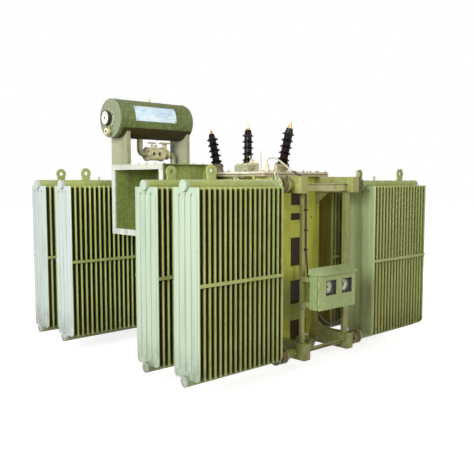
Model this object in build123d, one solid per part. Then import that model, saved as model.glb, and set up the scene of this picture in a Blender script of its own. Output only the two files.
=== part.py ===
from build123d import *
import math
import os

# Oil-filled distribution transformer with four pairs of pressed-panel radiators, a conservator drum,
# an open low-voltage cable box, three high-voltage bushings and a marshalling box on its front end.
# Millimetres, Z up from the ground. X runs from the low-voltage side to the high-voltage side,
# Y from the front end, which carries the marshalling box, to the back end.

# Clearances between pieces
SEAT = 0.3
PIN_CLEARANCE = 0.3
DOOR_CLEARANCE = 6.0

# Tank, cover and skids
TANK_WIDTH = 752.0
TANK_LENGTH = 1582.0
TANK_CORNER_RADIUS = 30.0
COVER_TOP = 1690.0
COVER_THICKNESS = 18.0
COVER_OVERHANG = 65.0
COVER_CORNER_RADIUS = 25.0
GASKET_THICKNESS = 6.0
GASKET_INSET = 6.0
RIM_THICKNESS = 18.0
SKID_HEIGHT = 70.0
SKID_WIDTH = 110.0
SKID_WALL = 12.0
SKID_LENGTH = 1540.0
SKID_SPACING = 520.0

# Stiffeners on the tank walls
STIFFENER_DEPTH = 50.0
HV_UPRIGHT_WIDTH = 172.0
LV_UPRIGHT_WIDTH = 136.0
MIDDLE_UPRIGHT_WIDTH = 128.0
MIDDLE_UPRIGHT_X = -81.0
STIFFENER_BAND_HEIGHTS = (73.0, 160.0, 130.0, 150.0)
STIFFENER_BAND_CENTRES = (1354.0, 1174.0, 765.0, 405.0)
SIDE_RIB_COUNT = 3
SIDE_RIB_SPACING = 300.0
SIDE_RIB_WIDTH = 60.0
SIDE_RIB_DEPTH = 50.0
SIDE_RIB_BOTTOM = 160.0
SIDE_RIB_TOP = 1560.0

# Radiator banks
FIN_COUNT = 18
FIN_PITCH = 50.0
FIN_WIDTH = 296.0
FIN_THICKNESS = 15.0
FIN_EDGE_THICKNESS = 7.0
FIN_EDGE_TAPER = 14.0
FIN_BOTTOM = 172.0
FIN_TOP = 1564.0
FIN_CORNER_CUT = 25.0
INNER_FIN_GAP = 79.0
OUTER_BANK_Y = 1160.0
INNER_BANK_Y = 669.0
FLUTE_COUNT = 4
FLUTE_GROOVE = 13.0
FLUTE_EDGE_MARGIN = 17.0
FLUTE_END_MARGIN = 52.0
FLUTE_RISE = 4.0
TIE_BAR_HEIGHT = 26.0
TIE_BAR_THICKNESS = 6.0
TIE_BAR_CENTRE_Z = 868.0
TIE_BAR_OVERRUN = 4.0

# Header pipes, flanges, valves and lugs
PIPE_RADIUS = 42.0
TOP_PIPE_Z = 1577.0
BOTTOM_PIPE_Z = 155.0
PIPE_END_STANDOUT = 24.0
FLANGE_RADIUS = 68.0
FLANGE_THICKNESS = 12.0
STUB_REACH = 86.0
VALVE_LENGTH = 52.0
VALVE_RADIUS = 66.0
VALVE_NECK_LENGTH = 26.0
VALVE_NECK_RADIUS = 48.0
VALVE_STEM_RADIUS = 10.0
VALVE_STEM_LENGTH = 34.0
VALVE_STEM_CLEARANCE_ANGLE = 45.0
LUG_FROM_END = 270.0
LUG_WIDTH = 98.0
LUG_RISE = 110.0
LUG_THICKNESS = 14.0
LUG_HOLE_RADIUS = 19.0
VENT_FROM_END = 700.0
VENT_RADIUS = 9.0
VENT_RISE = 34.0

# Header boxes and their gussets
HEADER_BOX_WIDTH = 80.0
HEADER_BOX_HEIGHT = 138.0
TOP_BOX_OUTBOARD = 9.0
BOTTOM_BOX_INBOARD = 43.0
BOTTOM_BOX_Z = 174.0
HEADER_BOX_REACH = 447.0
GUSSET_LENGTH = 150.0
GUSSET_DROP = 110.0
GUSSET_THICKNESS = 12.0

# Frames across the header-box ends
FRAME_SETBACK = 56.0
TOP_BEAM_Z = 1558.0
TOP_BEAM_HEIGHT = 64.0
BOTTOM_BEAM_Z = 165.0
BOTTOM_BEAM_HEIGHT = 24.0
BEAM_DEPTH = 40.0
BEAM_WALL = 5.0
POST_DEPTH = 30.0
POST_WALL = 6.0
LEFT_POST_X = -284.0
LEFT_POST_WIDTH = 38.0
RIGHT_POST_X = 297.0
RIGHT_POST_WIDTH = 68.0
RAIL_HEIGHT = 40.0
RAIL_THICKNESS = 6.0

# Marshalling box with its door, windows and dials
BOX_LEFT = -285.0
BOX_RIGHT = 184.0
BOX_BOTTOM = 542.0
BOX_TOP = 832.0
BOX_DEPTH = 86.0
BOX_STANDOFF = 68.0
BOX_WALL = 6.0
DOOR_THICKNESS = 20.0
WINDOW_WIDTH = 134.0
WINDOW_HEIGHT = 126.0
WINDOW_CENTRES = (-140.0, 71.0)
WINDOW_CENTRE_Z = 723.0
PANE_THICKNESS = 4.0
PANE_LAP = 8.0
DIAL_RADIUS = 50.0
DIAL_DEPTH = 46.0
DIAL_RECESS = 12.0
DIAL_BEZEL = 5.0
DIAL_BEZEL_RISE = 4.0
HOOD_OVERHANG = 18.0
HOOD_RISE = 53.0
HOOD_LIP = 8.0
HINGE_PIN_RADIUS = 4.0
HINGE_KNUCKLE_RADIUS = 8.0
HINGE_KNUCKLE_LENGTH = 50.0
HINGE_EAR_THICKNESS = 6.0
HINGE_FROM_EDGE = 50.0
HINGE_OFFSET = 9.0
LATCH_RADIUS = 11.0
LATCH_RISE = 10.0
LATCH_FROM_EDGE = 20.0

# Capillary tube from a cover pocket to the gland under the marshalling box
TUBE_RADIUS = 7.0
TUBE_ARC_SHARE = 0.45
GLAND_X = 108.0
GLAND_RADIUS = 15.0
GLAND_LENGTH = 26.0

# Drain valve low on the front end of the tank
DRAIN_VALVE_FROM_UPRIGHT = 10.0
DRAIN_VALVE_Z = 118.0
DRAIN_VALVE_LENGTH = 170.0
DRAIN_VALVE_PIPE_RADIUS = 24.0
DRAIN_VALVE_FLANGE_RADIUS = 44.0
DRAIN_VALVE_BONNET_RADIUS = 15.0
DRAIN_VALVE_BONNET_RISE = 70.0

# Low-voltage cable box and its throat
CABLE_BOX_DEPTH = 477.0
CABLE_BOX_HALF_WIDTH = 350.0
CABLE_BOX_BOTTOM = 1169.0
CABLE_BOX_LID_TOP = 1755.0
CABLE_BOX_WALL = 6.0
CABLE_FLANGE_WIDTH = 47.0
CABLE_FLANGE_THICKNESS = 10.0
CABLE_LID_THICKNESS = 8.0
CABLE_HOLE_RADIUS = 7.0
CABLE_HOLE_COLUMNS = 5
CABLE_HOLE_ROWS = 4
CABLE_HOLE_INSET = 21.0
THROAT_LENGTH = 264.0
THROAT_HALF_WIDTH = 320.0
THROAT_BOTTOM = 1190.0
THROAT_TOP = 1622.0
THROAT_FLANGE_WIDTH = 87.0
THROAT_FLANGE_THICKNESS = 12.0

# Conservator, supports, gauge, relay pipe
DRUM_RADIUS = 174.0
DRUM_LEFT_OVERHANG = 90.0
DRUM_RIGHT_OVERHANG = 99.0
DRUM_Y = 275.0
DRUM_Z = 2170.0
DRUM_KNUCKLE_RADIUS = 40.0
DRUM_KNUCKLE_DEGREES = 65.0
END_RING_THICKNESS = 28.0
END_RING_STEP = 7.0
SUPPORT_WIDTH = 262.0
SUPPORT_DEPTH = 38.0
SUPPORT_WALL = 8.0
RIGHT_SUPPORT_INSET = 6.0
GAUGE_RADIUS = 64.0
GAUGE_STANDOUT = 55.0
GAUGE_OFFSET_Y = 6.0
GAUGE_OFFSET_Z = 0.0
GAUGE_NECK_RADIUS = 40.0
DRAIN_OFFSET_Y = -20.0
DRAIN_OFFSET_Z = -121.0
DRAIN_RADIUS = 30.0
DRAIN_LENGTH = 60.0
FILLER_X = -775.0
FILLER_RADIUS = 13.0
FILLER_RISE = 36.0
RELAY_PIPE_RADIUS = 27.0
RELAY_PIPE_X = -884.0
RELAY_PIPE_Z = 1862.0
RELAY_PIPE_BEND = 45.0
RELAY_X = -725.0
RELAY_HALF_LENGTH = 88.0
RELAY_HALF_WIDTH = 58.0
RELAY_HALF_HEIGHT = 58.0
RELAY_FLANGE_RADIUS = 67.0
RELAY_FLANGE_THICKNESS = 14.0
RELAY_VALVE_X = -600.0
RELAY_VALVE_HALF_LENGTH = 30.0
RELAY_VALVE_RADIUS = 48.0
RELAY_VALVE_BONNET_RADIUS = 20.0
RELAY_VALVE_RISE = 101.0
HANDWHEEL_RADIUS = 48.0
HANDWHEEL_RIM_RADIUS = 6.0
HANDWHEEL_SPOKES = 3
HANDWHEEL_SPOKE_RADIUS = 5.0
DOWNCOMER_FROM_TANK = 124.0
DOWNCOMER_FLANGE_RADIUS = 50.0
DOWNCOMER_FLANGE_THICKNESS = 12.0

# High-voltage bushings
BUSHING_INSET = 87.0
BUSHING_Y = 40.0
BUSHING_SPACING = 465.0
BUSHING_LEAN = 15.0
TURRET_RADIUS = 62.0
TURRET_HEIGHT = 66.0
TURRET_FLANGE_RADIUS = 80.0
TURRET_FLANGE_THICKNESS = 12.0
CLAMP_RADIUS = 70.0
CLAMP_HEIGHT = 24.0
PORCELAIN_BASE_RADIUS = 50.0
PORCELAIN_BASE_HEIGHT = 34.0
PORCELAIN_SHAFT_RADIUS = 40.0
PORCELAIN_SHED_RADIUS = 61.0
PORCELAIN_SHEDS = 5
PORCELAIN_SHED_PITCH = 62.0
PORCELAIN_SHED_DROP = 22.0
PORCELAIN_SHED_EDGE = 5.0
PORCELAIN_TOP_RADIUS = 30.0
PORCELAIN_TOP_HEIGHT = 40.0
TERMINAL_CAP_RADIUS = 24.0
TERMINAL_CAP_HEIGHT = 26.0
TERMINAL_STUD_RADIUS = 8.0
TERMINAL_STUD_LENGTH = 40.0
TERMINAL_NUT_RADIUS = 15.0
TERMINAL_NUT_HEIGHT = 11.0

# Small fittings on the cover
SWITCH_X = -70.0
SWITCH_Y = -250.0
SWITCH_RADIUS = 46.0
SWITCH_HEIGHT = 70.0
SWITCH_HANDLE_LENGTH = 150.0
SWITCH_HANDLE_WIDTH = 22.0
SWITCH_HANDLE_HEIGHT = 14.0
RELIEF_X = -120.0
RELIEF_Y = 620.0
RELIEF_RADIUS = 68.0
RELIEF_HEIGHT = 84.0
POCKET_INSET = 94.0
POCKET_Y = -800.0
POCKET_SPACING = 110.0
POCKET_RADIUS = 16.0
POCKET_HEIGHT = 60.0
JUNCTION_LENGTH = 170.0
JUNCTION_WIDTH = 90.0
JUNCTION_HEIGHT = 58.0
JUNCTION_INSET = 46.0
JUNCTION_Y = -560.0

# Heights and reaches that follow from the driving dimensions
COVER_BOTTOM = COVER_TOP - COVER_THICKNESS
TANK_TOP = COVER_BOTTOM - GASKET_THICKNESS
HALF_WIDTH = TANK_WIDTH / 2
HALF_LENGTH = TANK_LENGTH / 2
END_FACE = HALF_LENGTH + STIFFENER_DEPTH
TOP_BOX_SIDE = HALF_WIDTH + TOP_BOX_OUTBOARD
BOTTOM_BOX_SIDE = HALF_WIDTH - BOTTOM_BOX_INBOARD
HEADER_BOX_END = END_FACE + HEADER_BOX_REACH
FRAME_FRONT = HEADER_BOX_END - FRAME_SETBACK
VALVE_X = HALF_WIDTH + STUB_REACH
FLANGE_X = VALVE_X + VALVE_LENGTH + VALVE_NECK_LENGTH
INNER_FIN_X = FLANGE_X + INNER_FIN_GAP
OUTER_FIN_X = INNER_FIN_X + (FIN_COUNT - 1) * FIN_PITCH
PIPE_END_X = OUTER_FIN_X + FIN_THICKNESS / 2 + PIPE_END_STANDOUT
CABLE_BOX_BACK = -(HALF_WIDTH + THROAT_LENGTH)
CABLE_BOX_FRONT = CABLE_BOX_BACK - CABLE_BOX_DEPTH
LEFT_SUPPORT_X = CABLE_BOX_FRONT + CABLE_FLANGE_THICKNESS
RIGHT_SUPPORT_X = -(HALF_WIDTH + COVER_OVERHANG - RIGHT_SUPPORT_INSET)
DRUM_LEFT = LEFT_SUPPORT_X - DRUM_LEFT_OVERHANG
DRUM_RIGHT = RIGHT_SUPPORT_X + DRUM_RIGHT_OVERHANG
RELAY_DOWNCOMER_X = -(HALF_WIDTH + DOWNCOMER_FROM_TANK)
BUSHING_X = HALF_WIDTH - BUSHING_INSET
POCKET_X = -(HALF_WIDTH - POCKET_INSET)
JUNCTION_X = -(HALF_WIDTH - JUNCTION_INSET)
DRAIN_VALVE_X = HALF_WIDTH - HV_UPRIGHT_WIDTH - DRAIN_VALVE_FLANGE_RADIUS - DRAIN_VALVE_FROM_UPRIGHT
BOX_BACK_Y = -(FRAME_FRONT + BOX_STANDOFF)
BOX_FRONT_Y = BOX_BACK_Y - BOX_DEPTH
DOOR_BACK_Y = BOX_FRONT_Y - DOOR_CLEARANCE
DOOR_FRONT_Y = DOOR_BACK_Y - DOOR_THICKNESS
GLAND_Y = (BOX_BACK_Y + BOX_FRONT_Y) / 2
BANK_EDGE_Y = OUTER_BANK_Y + FIN_WIDTH / 2 + TIE_BAR_THICKNESS
FRONT_REACH = -DOOR_FRONT_Y + max(LATCH_RISE, HOOD_OVERHANG)
SHIFT_Y = (FRONT_REACH - BANK_EDGE_Y) / 2

# Route of the capillary tube, chosen by hand: over the cover's edge, down the left post and in a
# hanging bend below the marshalling box
TUBE_ROUTE = [
    (POCKET_X, POCKET_Y, COVER_TOP + POCKET_HEIGHT),
    (POCKET_X, POCKET_Y, 1800.0),
    (POCKET_X, POCKET_Y - 80.0, 1812.0),
    (POCKET_X - 3.0, -960.0, 1778.0),
    (POCKET_X - 5.0, -1060.0, 1712.0),
    (POCKET_X - 4.0, -1170.0, 1660.0),
    (POCKET_X - 2.0, -1251.0, 1618.0),
    (POCKET_X, -1243.0, 1500.0),
    (-271.0, -1241.5, 1370.0),
    (-268.0, -1241.0, 1200.0),
    (-269.0, -1241.5, 1040.0),
    (-257.0, -1243.0, 920.0),
    (-238.0, -1247.0, 785.0),
    (-206.0, -1255.0, 640.0),
    (-160.0, -1262.0, 535.0),
    (-100.0, -1268.0, 452.0),
    (-35.0, -1280.0, 388.0),
    (45.0, -1298.0, 372.0),
    (GLAND_X - 12.0, GLAND_Y + 14.0, 405.0),
    (GLAND_X, GLAND_Y, 455.0),
    (GLAND_X, GLAND_Y, BOX_BOTTOM - GLAND_LENGTH),
]


def block(low, high):
    """A box between two opposite corners."""
    size = [b - a for a, b in zip(low, high)]
    centre = [(a + b) / 2 for a, b in zip(low, high)]
    return Pos(*centre) * Box(*size)


def rod(start, end, radius):
    """A round bar between two points."""
    start = Vector(*start)
    along = Vector(*end) - start
    plane = Plane(origin=start, z_dir=along)
    return extrude(plane * Circle(radius), along.length)


def both_sides(shape):
    """The shape and its mirror image across the long middle plane."""
    return [shape, mirror(shape, about=Plane.YZ)]


def both_ends(shape):
    """The shape and its mirror image across the short middle plane."""
    return [shape, mirror(shape, about=Plane.XZ)]


def four_corners(shape):
    """The shape at all four corners of the tank."""
    return [copy for side in both_sides(shape) for copy in both_ends(side)]


def save(name, *pieces):
    """Writes one node, moved so that the origin is under the middle of the whole object."""
    solids = [Pos(0, SHIFT_Y, 0) * solid for piece in pieces for solid in piece.solids()]
    shape = Compound(children=solids) if len(solids) > 1 else solids[0]
    export_step(shape, f"parts/{name}.step")


def tank_body():
    """Welded tank: walls with rounded corners and the rim that the cover is bolted to."""
    walls = extrude(Pos(0, 0, SKID_HEIGHT) * RectangleRounded(TANK_WIDTH, TANK_LENGTH, TANK_CORNER_RADIUS),
                    TANK_TOP - SKID_HEIGHT)
    rim = extrude(Pos(0, 0, TANK_TOP - RIM_THICKNESS) * cover_outline(0), RIM_THICKNESS)
    return walls + rim


def cover_outline(inset):
    """Rounded rectangle of the cover, drawn in by the inset."""
    reach = COVER_OVERHANG - inset
    return RectangleRounded(2 * (HALF_WIDTH + reach), 2 * (END_FACE + reach), COVER_CORNER_RADIUS)


def base_skids():
    """Two channel skids, open downwards, that the tank stands on."""
    outside = Rectangle(SKID_WIDTH, SKID_HEIGHT)
    inside = Pos(0, -SKID_WALL) * Rectangle(SKID_WIDTH - 2 * SKID_WALL, SKID_HEIGHT)
    profile = Plane(origin=(SKID_SPACING / 2, SKID_LENGTH / 2, SKID_HEIGHT / 2), x_dir=(1, 0, 0),
                    z_dir=(0, -1, 0)) * (outside - inside)
    return both_sides(extrude(profile, SKID_LENGTH))


def end_stiffeners():
    """Grid of three uprights and level bands on both end walls, flush with the tank's sides."""
    top = TANK_TOP - RIM_THICKNESS
    uprights = (
        (-HALF_WIDTH, -HALF_WIDTH + LV_UPRIGHT_WIDTH),
        (MIDDLE_UPRIGHT_X - MIDDLE_UPRIGHT_WIDTH / 2, MIDDLE_UPRIGHT_X + MIDDLE_UPRIGHT_WIDTH / 2),
        (HALF_WIDTH - HV_UPRIGHT_WIDTH, HALF_WIDTH),
    )
    pieces = []
    for low_x, high_x in uprights:
        pieces += both_ends(block((low_x, HALF_LENGTH, SKID_HEIGHT), (high_x, END_FACE, top)))
    for height, centre in zip(STIFFENER_BAND_HEIGHTS, STIFFENER_BAND_CENTRES):
        for left, right in zip(uprights, uprights[1:]):
            pieces += both_ends(block((left[1], HALF_LENGTH, centre - height / 2),
                                      (right[0], END_FACE, centre + height / 2)))
    return pieces


def side_ribs():
    """Upright ribs on the bare middle of the high-voltage wall and below the low-voltage throat."""
    pieces = []
    for index in range(SIDE_RIB_COUNT):
        y = (index - (SIDE_RIB_COUNT - 1) / 2) * SIDE_RIB_SPACING
        low_y = y - SIDE_RIB_WIDTH / 2
        high_y = y + SIDE_RIB_WIDTH / 2
        pieces.append(block((HALF_WIDTH, low_y, SIDE_RIB_BOTTOM),
                            (HALF_WIDTH + SIDE_RIB_DEPTH, high_y, SIDE_RIB_TOP)))
        pieces.append(block((-HALF_WIDTH - SIDE_RIB_DEPTH, low_y, SIDE_RIB_BOTTOM),
                            (-HALF_WIDTH, high_y, THROAT_BOTTOM)))
    return pieces


def fin_blank():
    """One pressed panel at X 0 and Y 0: thick in its middle, thin along its two edges."""
    half_width = FIN_WIDTH / 2
    half_thick = FIN_THICKNESS / 2
    half_edge = FIN_EDGE_THICKNESS / 2
    shoulder = half_width - FIN_EDGE_TAPER
    outline = Polyline(
        (-half_thick, -shoulder),
        (-half_edge, -half_width),
        (half_edge, -half_width),
        (half_thick, -shoulder),
        (half_thick, shoulder),
        (half_edge, half_width),
        (-half_edge, half_width),
        (-half_thick, shoulder),
        close=True,
    )
    return extrude(Pos(0, 0, FIN_BOTTOM) * make_face(outline), FIN_TOP - FIN_BOTTOM)


def pipe_seats():
    """The notches for both header pipes: half octagons that touch the pipe at three flats."""
    flat = PIPE_RADIUS + SEAT
    corner = flat * math.tan(math.radians(45 / 2))
    deep = FIN_TOP - FIN_BOTTOM
    notches = []
    for z, out in ((TOP_PIPE_Z, 1), (BOTTOM_PIPE_Z, -1)):
        outline = Polyline((-flat, z + out * deep), (-flat, z - out * corner), (-corner, z - out * flat),
                           (corner, z - out * flat), (flat, z - out * corner), (flat, z + out * deep), close=True)
        notches.append(extrude(Plane.YZ * make_face(outline), FIN_THICKNESS, both=True))
    return notches


def plain_fin():
    """A panel between two others, where its flutes don't show."""
    fin = fin_blank()
    for seat in pipe_seats():
        fin = fin - seat
    return fin


def flute_outline(length, width):
    """Long flute with its four corners cut."""
    cut = width / 4
    half_length = length / 2
    half_width = width / 2
    corners = [(half_length, half_width - cut), (half_length - cut, half_width)]
    corners += [(-x, y) for x, y in reversed(corners)]
    corners += [(-x, -y) for x, y in corners]
    return make_face(Polyline(*corners, close=True))


def fluted_fin():
    """An end panel with flutes pressed out of its +X face and its lower corners cut."""
    fin = fin_blank()
    span = FIN_WIDTH - 2 * FLUTE_EDGE_MARGIN
    width = (span - (FLUTE_COUNT - 1) * FLUTE_GROOVE) / FLUTE_COUNT
    length = FIN_TOP - FIN_BOTTOM - 2 * FLUTE_END_MARGIN
    middle_z = (FIN_TOP + FIN_BOTTOM) / 2
    face_x = FIN_THICKNESS / 2
    face = Plane(origin=(face_x, 0, middle_z), x_dir=(0, 0, 1), z_dir=(1, 0, 0))
    for index in range(FLUTE_COUNT):
        offset = (index - (FLUTE_COUNT - 1) / 2) * (width + FLUTE_GROOVE)
        fin = fin + extrude(face * Pos(0, offset) * flute_outline(length, width), FLUTE_RISE)
    cut = FIN_CORNER_CUT
    for side in (-1, 1):
        corner = Polyline((side * FIN_WIDTH / 2, FIN_BOTTOM), (side * (FIN_WIDTH / 2 - cut), FIN_BOTTOM),
                          (side * FIN_WIDTH / 2, FIN_BOTTOM + cut), close=True)
        wedge = extrude(Plane.YZ * make_face(corner), FIN_THICKNESS, both=True)
        fin = fin - wedge
    for seat in pipe_seats():
        fin = fin - seat
    return fin


def bank_fins(y):
    """All panels of the bank on the +X side at this Y."""
    plain = plain_fin()
    fluted = fluted_fin()
    fins = [Pos(OUTER_FIN_X, y, 0) * fluted]
    for index in range(1, FIN_COUNT - 1):
        fins.append(Pos(OUTER_FIN_X - index * FIN_PITCH, y, 0) * plain)
    fins.append(Pos(INNER_FIN_X, y, 0) * mirror(fluted, about=Plane.YZ))
    return fins


def header_pipes(y):
    """Top and bottom pipes of the bank on the +X side at this Y, each with its flange."""
    pipes = []
    for z in (TOP_PIPE_Z, BOTTOM_PIPE_Z):
        pipe = rod((FLANGE_X, y, z), (PIPE_END_X, y, z), PIPE_RADIUS)
        flange = rod((FLANGE_X, y, z), (FLANGE_X + FLANGE_THICKNESS, y, z), FLANGE_RADIUS)
        pipes.append(pipe + flange)
    lug_x = PIPE_END_X - LUG_FROM_END
    crown = TOP_PIPE_Z + PIPE_RADIUS
    top_radius = LUG_WIDTH / 2
    eye_z = crown + LUG_RISE - top_radius
    plate = Plane(origin=(lug_x, y + LUG_THICKNESS / 2, eye_z), x_dir=(1, 0, 0), z_dir=(0, -1, 0))
    neck = eye_z - TOP_PIPE_Z
    outline = Circle(top_radius) + Pos(0, -neck / 2) * Rectangle(LUG_WIDTH * 0.8, neck)
    lug = extrude(plate * (outline - Circle(LUG_HOLE_RADIUS)), LUG_THICKNESS)
    vent_x = PIPE_END_X - VENT_FROM_END
    vent = rod((vent_x, y, TOP_PIPE_Z), (vent_x, y, crown + VENT_RISE), VENT_RADIUS)
    pipes[0] = pipes[0] + lug + vent
    return pipes


def valve(y, z, outward):
    """Flap valve between the radiator flange and the stub, with its stem leaning outward."""
    neck_x = VALVE_X + VALVE_LENGTH
    body = rod((VALVE_X, y, z), (neck_x, y, z), VALVE_RADIUS)
    neck = rod((neck_x, y, z), (FLANGE_X, y, z), VALVE_NECK_RADIUS)
    middle = VALVE_X + VALVE_LENGTH / 2
    angle = math.radians(VALVE_STEM_CLEARANCE_ANGLE)
    reach = VALVE_RADIUS + VALVE_STEM_LENGTH
    tip = (middle, y + outward * reach * math.cos(angle), z + reach * math.sin(angle))
    return body + neck + rod((middle, y, z), tip, VALVE_STEM_RADIUS)


def stub(y, z, carrier_x):
    """Short flanged pipe from the tank wall or header box to the valve."""
    pipe = rod((carrier_x, y, z), (VALVE_X, y, z), PIPE_RADIUS)
    return pipe + rod((VALVE_X - FLANGE_THICKNESS, y, z), (VALVE_X, y, z), FLANGE_RADIUS)


def tie_bars():
    """Flat bars across the panel edges at mid height, on both long sides of each bank."""
    outer_x = OUTER_FIN_X + FIN_EDGE_THICKNESS / 2 + TIE_BAR_OVERRUN
    inner_x = INNER_FIN_X - FIN_EDGE_THICKNESS / 2 - TIE_BAR_OVERRUN
    low_z = TIE_BAR_CENTRE_Z - TIE_BAR_HEIGHT / 2
    bars = []
    for bank_y in (OUTER_BANK_Y, INNER_BANK_Y):
        for edge in (-1, 1):
            near = bank_y + edge * FIN_WIDTH / 2
            far = near + edge * TIE_BAR_THICKNESS
            bar = block((inner_x, min(near, far), low_z), (outer_x, max(near, far), low_z + TIE_BAR_HEIGHT))
            bars += four_corners(bar)
    return bars


def header_box(side, z):
    """Rectangular duct from the end of the tank that feeds the outer bank, at the +X +Y corner."""
    half = HEADER_BOX_HEIGHT / 2
    return block((side - HEADER_BOX_WIDTH, END_FACE, z - half), (side, HEADER_BOX_END, z + half))


def gusset(side, z, down):
    """Triangular plate in the corner between a header box and the end of the tank."""
    middle_x = min(side, HALF_WIDTH) - HEADER_BOX_WIDTH / 2
    edge_z = z - down * HEADER_BOX_HEIGHT / 2
    corner = Polyline((END_FACE, edge_z), (END_FACE + GUSSET_LENGTH, edge_z),
                      (END_FACE, edge_z - down * GUSSET_DROP), close=True)
    plate = extrude(Plane.YZ * make_face(corner), GUSSET_THICKNESS / 2, both=True)
    return Pos(middle_x, 0, 0) * plate


def end_beam(side, z, height):
    """Channel between the inner sides of two header boxes near the +Y end, open outwards."""
    half = side - HEADER_BOX_WIDTH
    back = FRAME_FRONT - BEAM_DEPTH
    outer = block((-half, back, z - height / 2), (half, FRAME_FRONT, z + height / 2))
    hollow = block((-half, back + BEAM_WALL, z - height / 2 + BEAM_WALL),
                   (half, FRAME_FRONT, z + height / 2 - BEAM_WALL))
    return outer - hollow


def post(x, width, high):
    """Upright channel on the bottom header box at the +Y end, open towards the tank."""
    low = BOTTOM_BOX_Z + HEADER_BOX_HEIGHT / 2
    outer = block((x - width / 2, FRAME_FRONT - POST_DEPTH, low), (x + width / 2, FRAME_FRONT, high))
    hollow = block((x - width / 2 + POST_WALL, FRAME_FRONT - POST_DEPTH, low),
                   (x + width / 2 - POST_WALL, FRAME_FRONT - POST_WALL, high))
    return outer - hollow


def posts():
    """The two posts of one end: one reaches the beam, the wider one the underside of its header box."""
    return [post(LEFT_POST_X, LEFT_POST_WIDTH, TOP_BEAM_Z - TOP_BEAM_HEIGHT / 2),
            post(RIGHT_POST_X, RIGHT_POST_WIDTH, TOP_PIPE_Z - HEADER_BOX_HEIGHT / 2)]


def box_rails():
    """Two flat bars behind the marshalling box, each on a spacer from either front post."""
    left = LEFT_POST_X - LEFT_POST_WIDTH / 2
    right = RIGHT_POST_X + RIGHT_POST_WIDTH / 2
    rails = []
    for z in (BOX_BOTTOM + RAIL_HEIGHT, BOX_TOP - RAIL_HEIGHT):
        low = z - RAIL_HEIGHT / 2
        high = z + RAIL_HEIGHT / 2
        bar = block((left, BOX_BACK_Y, low), (right, BOX_BACK_Y + RAIL_THICKNESS, high))
        for start, end in ((left, left + LEFT_POST_WIDTH), (right - RIGHT_POST_WIDTH, right)):
            bar = bar + block((start, BOX_BACK_Y, low), (end, -FRAME_FRONT, high))
        rails.append(bar)
    return rails


def marshalling_box():
    """Open-fronted steel case with the gland of the capillary tube under its floor."""
    outside = block((BOX_LEFT, BOX_FRONT_Y, BOX_BOTTOM), (BOX_RIGHT, BOX_BACK_Y, BOX_TOP))
    inside = block((BOX_LEFT + BOX_WALL, BOX_FRONT_Y, BOX_BOTTOM + BOX_WALL),
                   (BOX_RIGHT - BOX_WALL, BOX_BACK_Y - BOX_WALL, BOX_TOP - BOX_WALL))
    gland = rod((GLAND_X, GLAND_Y, BOX_BOTTOM - GLAND_LENGTH), (GLAND_X, GLAND_Y, BOX_BOTTOM), GLAND_RADIUS)
    return outside - inside + gland


def rain_hood():
    """Sloped plate over the marshalling box, higher at its back, with closed cheeks."""
    front = DOOR_FRONT_Y - HOOD_OVERHANG
    outline = Polyline((front, BOX_TOP + HOOD_LIP), (BOX_BACK_Y, BOX_TOP + HOOD_RISE),
                       (BOX_BACK_Y, BOX_TOP), (BOX_FRONT_Y, BOX_TOP), (BOX_FRONT_Y, BOX_TOP + HOOD_LIP / 2),
                       (front, BOX_TOP), close=True)
    hood = extrude(Plane.YZ * make_face(outline), BOX_RIGHT - BOX_LEFT + 2 * HOOD_OVERHANG)
    return Pos(BOX_LEFT - HOOD_OVERHANG, 0, 0) * hood


def hinge_levels():
    """Heights of the middles of the two hinges."""
    reach = HINGE_FROM_EDGE + HINGE_KNUCKLE_LENGTH / 2
    return (BOX_BOTTOM + reach, door_top() - reach)


def hinge_line():
    """X and Y of the hinge axis, outside the left front edge of the case."""
    return BOX_LEFT - HINGE_OFFSET, DOOR_FRONT_Y + HINGE_KNUCKLE_RADIUS


def hinge_pins():
    """Pins with an ear above and below each knuckle, fixed to the side of the case."""
    x, y = hinge_line()
    pins = []
    for z in hinge_levels():
        half = HINGE_KNUCKLE_LENGTH / 2
        low = z - half - PIN_CLEARANCE - HINGE_EAR_THICKNESS
        high = z + half + PIN_CLEARANCE + HINGE_EAR_THICKNESS
        piece = rod((x, y, low), (x, y, high), HINGE_PIN_RADIUS)
        leaf = block((BOX_LEFT - HINGE_EAR_THICKNESS, BOX_FRONT_Y, low),
                     (BOX_LEFT, BOX_FRONT_Y + HINGE_KNUCKLE_LENGTH, high))
        for ear_low in (low, high - HINGE_EAR_THICKNESS):
            ear_high = ear_low + HINGE_EAR_THICKNESS
            eye = rod((x, y, ear_low), (x, y, ear_high), HINGE_KNUCKLE_RADIUS)
            arm = block((x - HINGE_KNUCKLE_RADIUS, y, ear_low),
                        (BOX_LEFT - DOOR_CLEARANCE / 2, BOX_FRONT_Y + HINGE_KNUCKLE_RADIUS, ear_high))
            piece = piece + eye + arm
        pins.append(piece + leaf)
    return pins


def door_top():
    """Top edge of the door, below the lip of the rain hood."""
    return BOX_TOP - DOOR_CLEARANCE


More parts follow.
